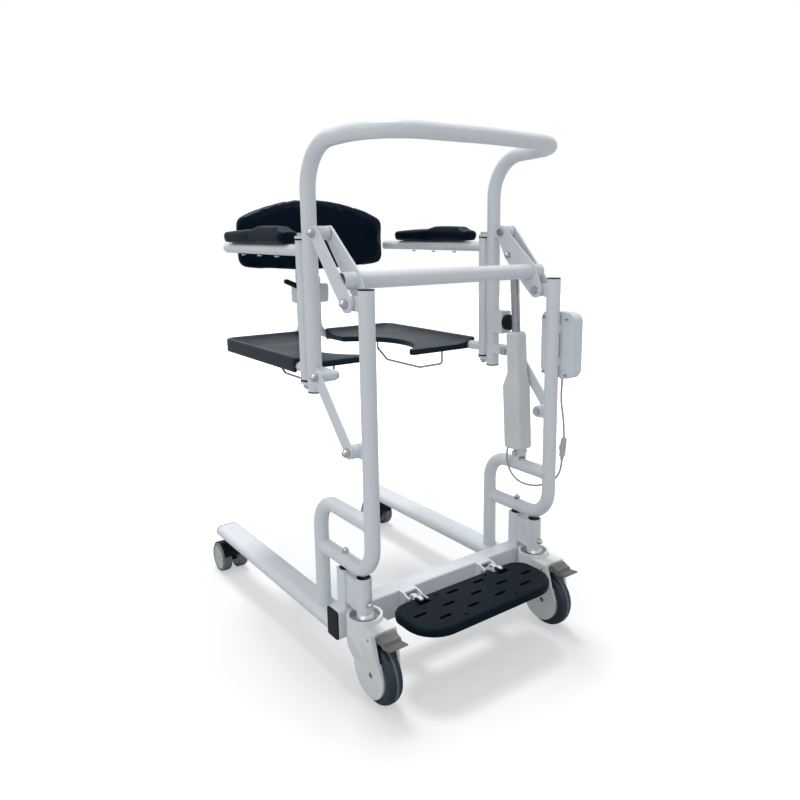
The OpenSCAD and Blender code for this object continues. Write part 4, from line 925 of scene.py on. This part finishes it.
class LIFT_OT_stage(Operator):
    """Sets up the floor, the lamps and the camera"""

    bl_idname = "lift.stage"
    bl_label = "Studio"

    def execute(self, context):
        scene = context.scene
        camera = bpy.data.objects.new("camera", bpy.data.cameras.new("camera"))
        scene.collection.objects.link(camera)
        camera.location = (-0.91162, -1.39515, 0.89062)
        camera.rotation_euler = [math.radians(a) for a in (78.7018, 0.2714, -38.1672)]
        camera.data.sensor_width, camera.data.lens = 36.0, 32.3575
        camera.data.shift_x, camera.data.shift_y = -0.05241, -0.03034
        camera.data.clip_start, camera.data.clip_end = 0.05, 60.0
        scene.camera = camera
        for name, energy, spread, turn in (
            ("key", 1.85, 16.0, (17.0, 0.0, 165.0)),
            ("fill", 0.5, 50.0, (58.0, 0.0, -75.0)),
        ):
            lamp = bpy.data.objects.new(name, bpy.data.lights.new(name, "SUN"))
            lamp.data.energy, lamp.data.angle = energy, math.radians(spread)
            lamp.rotation_euler = [math.radians(a) for a in turn]
            scene.collection.objects.link(lamp)
        self.world(scene)
        self.floor(scene)
        scene.view_settings.view_transform = "Standard"
        return {"FINISHED"}

    def world(self, scene):
        world = bpy.data.worlds.new("studio")
        world.use_nodes = True
        scene.world = world
        tree = world.node_tree
        tree.nodes.clear()
        net = Net(tree)
        rays = net.add("ShaderNodeLightPath").outputs
        seen = net.math("MAXIMUM", rays["Is Camera Ray"], rays["Is Transmission Ray"])
        height = net.add("ShaderNodeSeparateXYZ")
        net.put(height.inputs[0], net.add("ShaderNodeTexCoord").outputs["Generated"])
        ceiling = net.spread(height.outputs["Z"], 0.05, 0.75, 0.25, 1.0)
        bright = net.math("MAXIMUM", seen, net.math("MULTIPLY", rays["Is Glossy Ray"], ceiling))
        sky = net.add("ShaderNodeBackground")
        net.put(sky.inputs["Color"], net.mix(bright, (0.50, 0.515, 0.535, 1), (1, 1, 1, 1)))
        net.put(net.add("ShaderNodeOutputWorld").inputs["Surface"], sky.outputs[0])

    def floor(self, scene):
        bm = bmesh.new()
        bmesh.ops.create_circle(bm, cap_ends=True, segments=96, radius=9.0)
        mesh = bpy.data.meshes.new("floor")
        bm.to_mesh(mesh)
        bm.free()
        floor = bpy.data.objects.new("floor", mesh)
        floor.location.z = -0.0002
        scene.collection.objects.link(floor)
        paint = bpy.data.materials.new("floor")
        paint.use_nodes = True
        tree = paint.node_tree
        net = Net(tree)
        shader = tree.nodes["Principled BSDF"]
        place = net.add("ShaderNodeTexCoord").outputs["Object"]
        tone = net.mix(net.noise(place, 3.0), (0.47, 0.475, 0.48, 1), (0.49, 0.49, 0.495, 1))
        net.put(shader.inputs["Base Color"], tone)
        shader.inputs["Roughness"].default_value = 0.9
        shader.inputs["Specular IOR Level"].default_value = 0.0
        away = net.add("ShaderNodeVectorMath", operation="LENGTH")
        net.put(away.inputs[0], place)
        rays = net.add("ShaderNodeLightPath").outputs
        far = net.spread(away.outputs["Value"], 0.45, 0.95, 0.46, 1.0)
        fade = net.math("MULTIPLY", far, rays["Is Camera Ray"])
        glow = net.add("ShaderNodeEmission")
        glow.inputs["Color"].default_value = (1, 1, 1, 1)
        net.put(glow.inputs["Strength"], fade)
        lift = net.add("ShaderNodeAddShader")
        net.put(lift.inputs[0], shader.outputs[0])
        net.put(lift.inputs[1], glow.outputs[0])
        net.put(tree.nodes["Material Output"].inputs["Surface"], lift.outputs[0])
        mesh.materials.append(paint)


class LIFT_OT_lead(Operator):
    """Runs the lead from the control box to the actuator"""

    bl_idname = "lift.lead"
    bl_label = "Lead"

    def execute(self, context):
        line = smooth_route(LEAD_ROUTE)
        lead = tube_curve("lead_cord", line, sizes().lead_width / 2, "lead_sheath")
        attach(lead, "base")
        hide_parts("lead")
        boot = self.boot()
        return {"FINISHED"}

    def boot(self):
        """The ringed strain relief below the connector, and the slots in its side."""
        ring = [(-0.001, 0.0034), (0.0005, 0.0036), (0.0012, 0.0031)]
        first_ring, ring_pitch, ring_count = 0.0438, 0.0022, 5
        widest, taper = 1.38, 0.11
        slot_from_top, slot_out, slot_apart = 0.024, 0.0061, 0.0045
        slot_size = (0.0006, 0.0024, 0.013)
        top, low = at(*LEAD_ROUTE[CONNECTOR_TOP]), at(*LEAD_ROUTE[CONNECTOR_LOW])
        way = (low - top).normalized()
        bm = bmesh.new()
        for k in range(ring_count):
            wide = widest - taper * k
            start = first_ring + ring_pitch * k
            lathe(bm, [(start + along, radius * wide) for along, radius in ring], top, way, 20)
        for side in (-1, 1):
            place = top + way * slot_from_top + Vector((-slot_out, side * slot_apart, 0.0))
            bmesh.ops.create_cube(bm, size=1.0, matrix=Matrix.LocRotScale(place, None, slot_size))
        return new_piece("connector_boot", mesh_of(bm, "connector_boot"), "plug_moulding", "base",
                         smooth=False)


class LIFT_OT_pads(Operator):
    """Stuffs the backrest and the two arm pads"""

    bl_idname = "lift.pads"
    bl_label = "Pads"

    def execute(self, context):
        swollen("backrest_cushion", "backrest", "left_half")
        swollen("left_arm_cushion", "left_arm_pad", "left_half")
        swollen("right_arm_cushion", "right_arm_pad", "right_half")
        return {"FINISHED"}


class LIFT_OT_seats(Operator):
    """Moulds the two halves of the seat with rounded rims"""

    bl_idname = "lift.seats"
    bl_label = "Seats"

    def execute(self, context):
        for side in ("left", "right"):
            rounded(f"{side}_seat_shell", f"{side}_seat", f"{side}_half", "seat_moulding")
        return {"FINISHED"}


class LIFT_OT_screws(Operator):
    """Puts the screws in the pads, the box and the footplate"""

    bl_idname = "lift.screws"
    bl_label = "Screws"

    def execute(self, context):
        radius = sizes().screw_radius
        arm_pitch, arm_height, arm_under_z = 0.085, 0.0035, 844.3
        for side in ("left", "right"):
            arm = middle(f"{side}_arm_pad")
            start = Vector((arm.x, arm.y - arm_pitch, at(0, 0, arm_under_z).z))
            screws(f"{side}_arm_screws", f"{side}_half", "zinc",
                   [(start, (0, arm_pitch, 0), 3, radius, arm_height, "down")])
        low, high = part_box("control_box")
        inset, box_radius, box_height = 0.014, 0.0034, 0.0022
        step = (0, 0, high.z - low.z - 2 * inset)
        rows = [
            ((low.x - 0.0006, y, low.z + inset), step, 2, box_radius, box_height, "left")
            for y in (low.y + 0.017, high.y - 0.012)
        ]
        screws("box_screws", "base", "dark_steel", rows, 24)
        foot_x, foot_radius, foot_height = 68, 0.0042, 0.0018
        step = (2 * foot_x / 1000, 0, 0)
        rows = [
            (at(-foot_x, y, FOOTPLATE_TOP_Z + 0.2), step, 2, foot_radius, foot_height, "up")
            for y in (24, -74)
        ]
        screws("footplate_screws", "foot_rest", "black_moulding", rows, 24)
        return {"FINISHED"}


class LIFT_OT_welds(Operator):
    """Lays the weld beads where the tubes join"""

    bl_idname = "lift.welds"
    bl_label = "Welds"

    def execute(self, context):
        self.base()
        self.links()
        for s, side in ((-1, "left"), (1, "right")):
            self.half(s, side)
        return {"FINISHED"}

    def base(self):
        paths = []
        for s in (-1, 1):
            x = SIDE_X * s
            paths.append(saddle_path(at(x, REAR_POST_Y, LOOP_LOW_Z), FORWARD, FRAME_TUBE, UP, FRAME_TUBE))
            paths.append(saddle_path(at(x, 0, LOOP_TOP_Z), BACK, FRAME_TUBE, UP, FRAME_TUBE))
            paths.append(ring_path(at(x, REAR_POST_Y, LEG_TOP_Z), FRAME_TUBE + WELD_LIFT, UP))
            paths.append(square_path(at(x, CASTER_POST_Y, BEAM_TOP_Z), FRAME_TUBE + WELD_LIFT))
        welds("base_welds", "base", paths)

    def links(self):
        """Both sides of the inner plates, where the cross tube goes through."""
        plate_faces, ring = (18.7, 13.3), 0.0161
        paths = [
            ring_path(at(s * (LINK_X - face), CROSS_TUBE_Y, CROSS_TUBE_Z), ring, ACROSS)
            for s in (-1, 1)
            for face in plate_faces
        ]
        welds("link_welds", "upper_links", paths)

    def half(self, s, side):
        hinge = at(COLUMN_X * s, COLUMN_Y, ARM_TUBE_Z)
        paths = [saddle_path(hinge, BACK, ARM_TUBE, UP, COLUMN_TUBE)]
        if side == "left":
            drop_x, drop_tube = -23.5, 0.011
            back_x, back_tube = 134, 0.010
            drop = at(drop_x, REAR_TUBE_Y, ARM_TUBE_Z)
            paths.append(saddle_path(drop, DOWN, drop_tube, ACROSS, ARM_TUBE))
            for x in (-back_x, back_x):
                stay = at(x, REAR_TUBE_Y, ARM_TUBE_Z)
                paths.append(saddle_path(stay, FORWARD, back_tube, ACROSS, ARM_TUBE))
        welds(f"{side}_half_welds", f"{side}_half", paths)


class LIFT_OT_pedals(Operator):
    """Ribs the treads of the brake pedals"""

    bl_idname = "lift.pedals"
    bl_label = "Brake Pedals"

    def execute(self, context):
        from_front, below_top, margin, radius = 0.006, 0.0098, 0.002, 0.0011
        step = (0, 0.0045, -0.0007)
        for side in ("left", "right"):
            low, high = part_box(f"{side}_brake_pedal")
            start = ((low.x + high.x) / 2, low.y + from_front, high.z - below_top)
            wide = high.x - low.x - 2 * margin
            ribs(f"{side}_pedal_ribs", f"{side}_pedal", "pedal_moulding",
                 [(start, step, 4, radius, wide)])
        return {"FINISHED"}


class LIFT_OT_hooks(Operator):
    """Hangs the footplate from two curved white hooks with black pads"""

    bl_idname = "lift.hooks"
    bl_label = "Footplate Hooks"

    def execute(self, context):
        bend = [
            (57, 149), (53, 156), (46, 158.5), (39, 156.5), (33, 157), (27, 161), (20, 160), (17, 157.5)
        ]
        wide, thick, half_strap = 0.009, 0.0032, 0.009
        pad_size, pad_apart = (0.0042, 0.018, 0.005), 0.0072
        pad_place = at(0, 21, FOOTPLATE_TOP_Z + 2.4)
        pads = bmesh.new()
        hooks = bmesh.new()
        low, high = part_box("footplate_hinges")
        for x in (low.x + half_strap, high.x - half_strap):
            line = [Vector((x, at(0, y, z).y, at(0, y, z).z)) for y, z in bend]
            ribbon(hooks, line, wide, thick)
            for side in (-1, 1):
                place = Vector((x + side * pad_apart, pad_place.y, pad_place.z))
                bmesh.ops.create_cube(pads, size=1.0, matrix=Matrix.LocRotScale(place, None, pad_size))
        new_piece("footplate_hooks", mesh_of(hooks, "hooks"), "powder_coat", "foot_rest")
        new_piece("hook_pads", mesh_of(pads, "pads"), "black_moulding", "foot_rest",
                  smooth=False)
        return {"FINISHED"}


class LIFT_OT_collars(Operator):
    """Turns the zinc collars between the caster sockets and the swivel rings"""

    bl_idname = "lift.collars"
    bl_label = "Swivel Collars"

    def execute(self, context):
        profile = [(-0.004, 0.0205), (0.0, 0.0205), (0.003, 0.0175), (0.0062, 0.0165)]
        for s, side in ((-1, "left"), (1, "right")):
            ring_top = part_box(f"{side}_front_fork")[1].z
            foot = at(s * SWIVEL_X, SWIVEL_Y, 0)
            bm = bmesh.new()
            lathe(bm, profile, Vector((foot.x, foot.y, ring_top)), UP, 48)
            new_piece(f"{side}_swivel_collar", mesh_of(bm, "collar"), "zinc", "base")
        return {"FINISHED"}


class LIFT_PT_parts(Panel):
    """Lists the steps that dress the lift"""

    bl_label = "Sit to Stand Lift"
    bl_idname = "LIFT_PT_parts"
    bl_space_type = "VIEW_3D"
    bl_region_type = "UI"
    bl_category = "Lift"

    def draw(self, context):
        for step in STEPS:
            self.layout.operator(step.bl_idname)
        for group in (context.scene.lift_sizes, context.scene.lift_finishes):
            column = self.layout.column()
            for name in group.__annotations__:
                column.prop(group, name)


STEPS = (
    LIFT_OT_finishes, LIFT_OT_stage, LIFT_OT_lead, LIFT_OT_pads, LIFT_OT_seats, LIFT_OT_screws,
    LIFT_OT_welds, LIFT_OT_pedals, LIFT_OT_hooks, LIFT_OT_collars,
)
CLASSES = (LiftSizes, LiftFinishes, *STEPS, LIFT_PT_parts)


def register():
    for cls in CLASSES:
        bpy.utils.register_class(cls)
    bpy.types.Scene.lift_sizes = PointerProperty(type=LiftSizes)
    bpy.types.Scene.lift_finishes = PointerProperty(type=LiftFinishes)


def unregister():
    del bpy.types.Scene.lift_finishes
    del bpy.types.Scene.lift_sizes
    for cls in reversed(CLASSES):
        bpy.utils.unregister_class(cls)


def main():
    register()
    for step in STEPS:
        family, name = step.bl_idname.split(".")
        getattr(getattr(bpy.ops, family), name)()


if __name__ == "__main__":
    main()
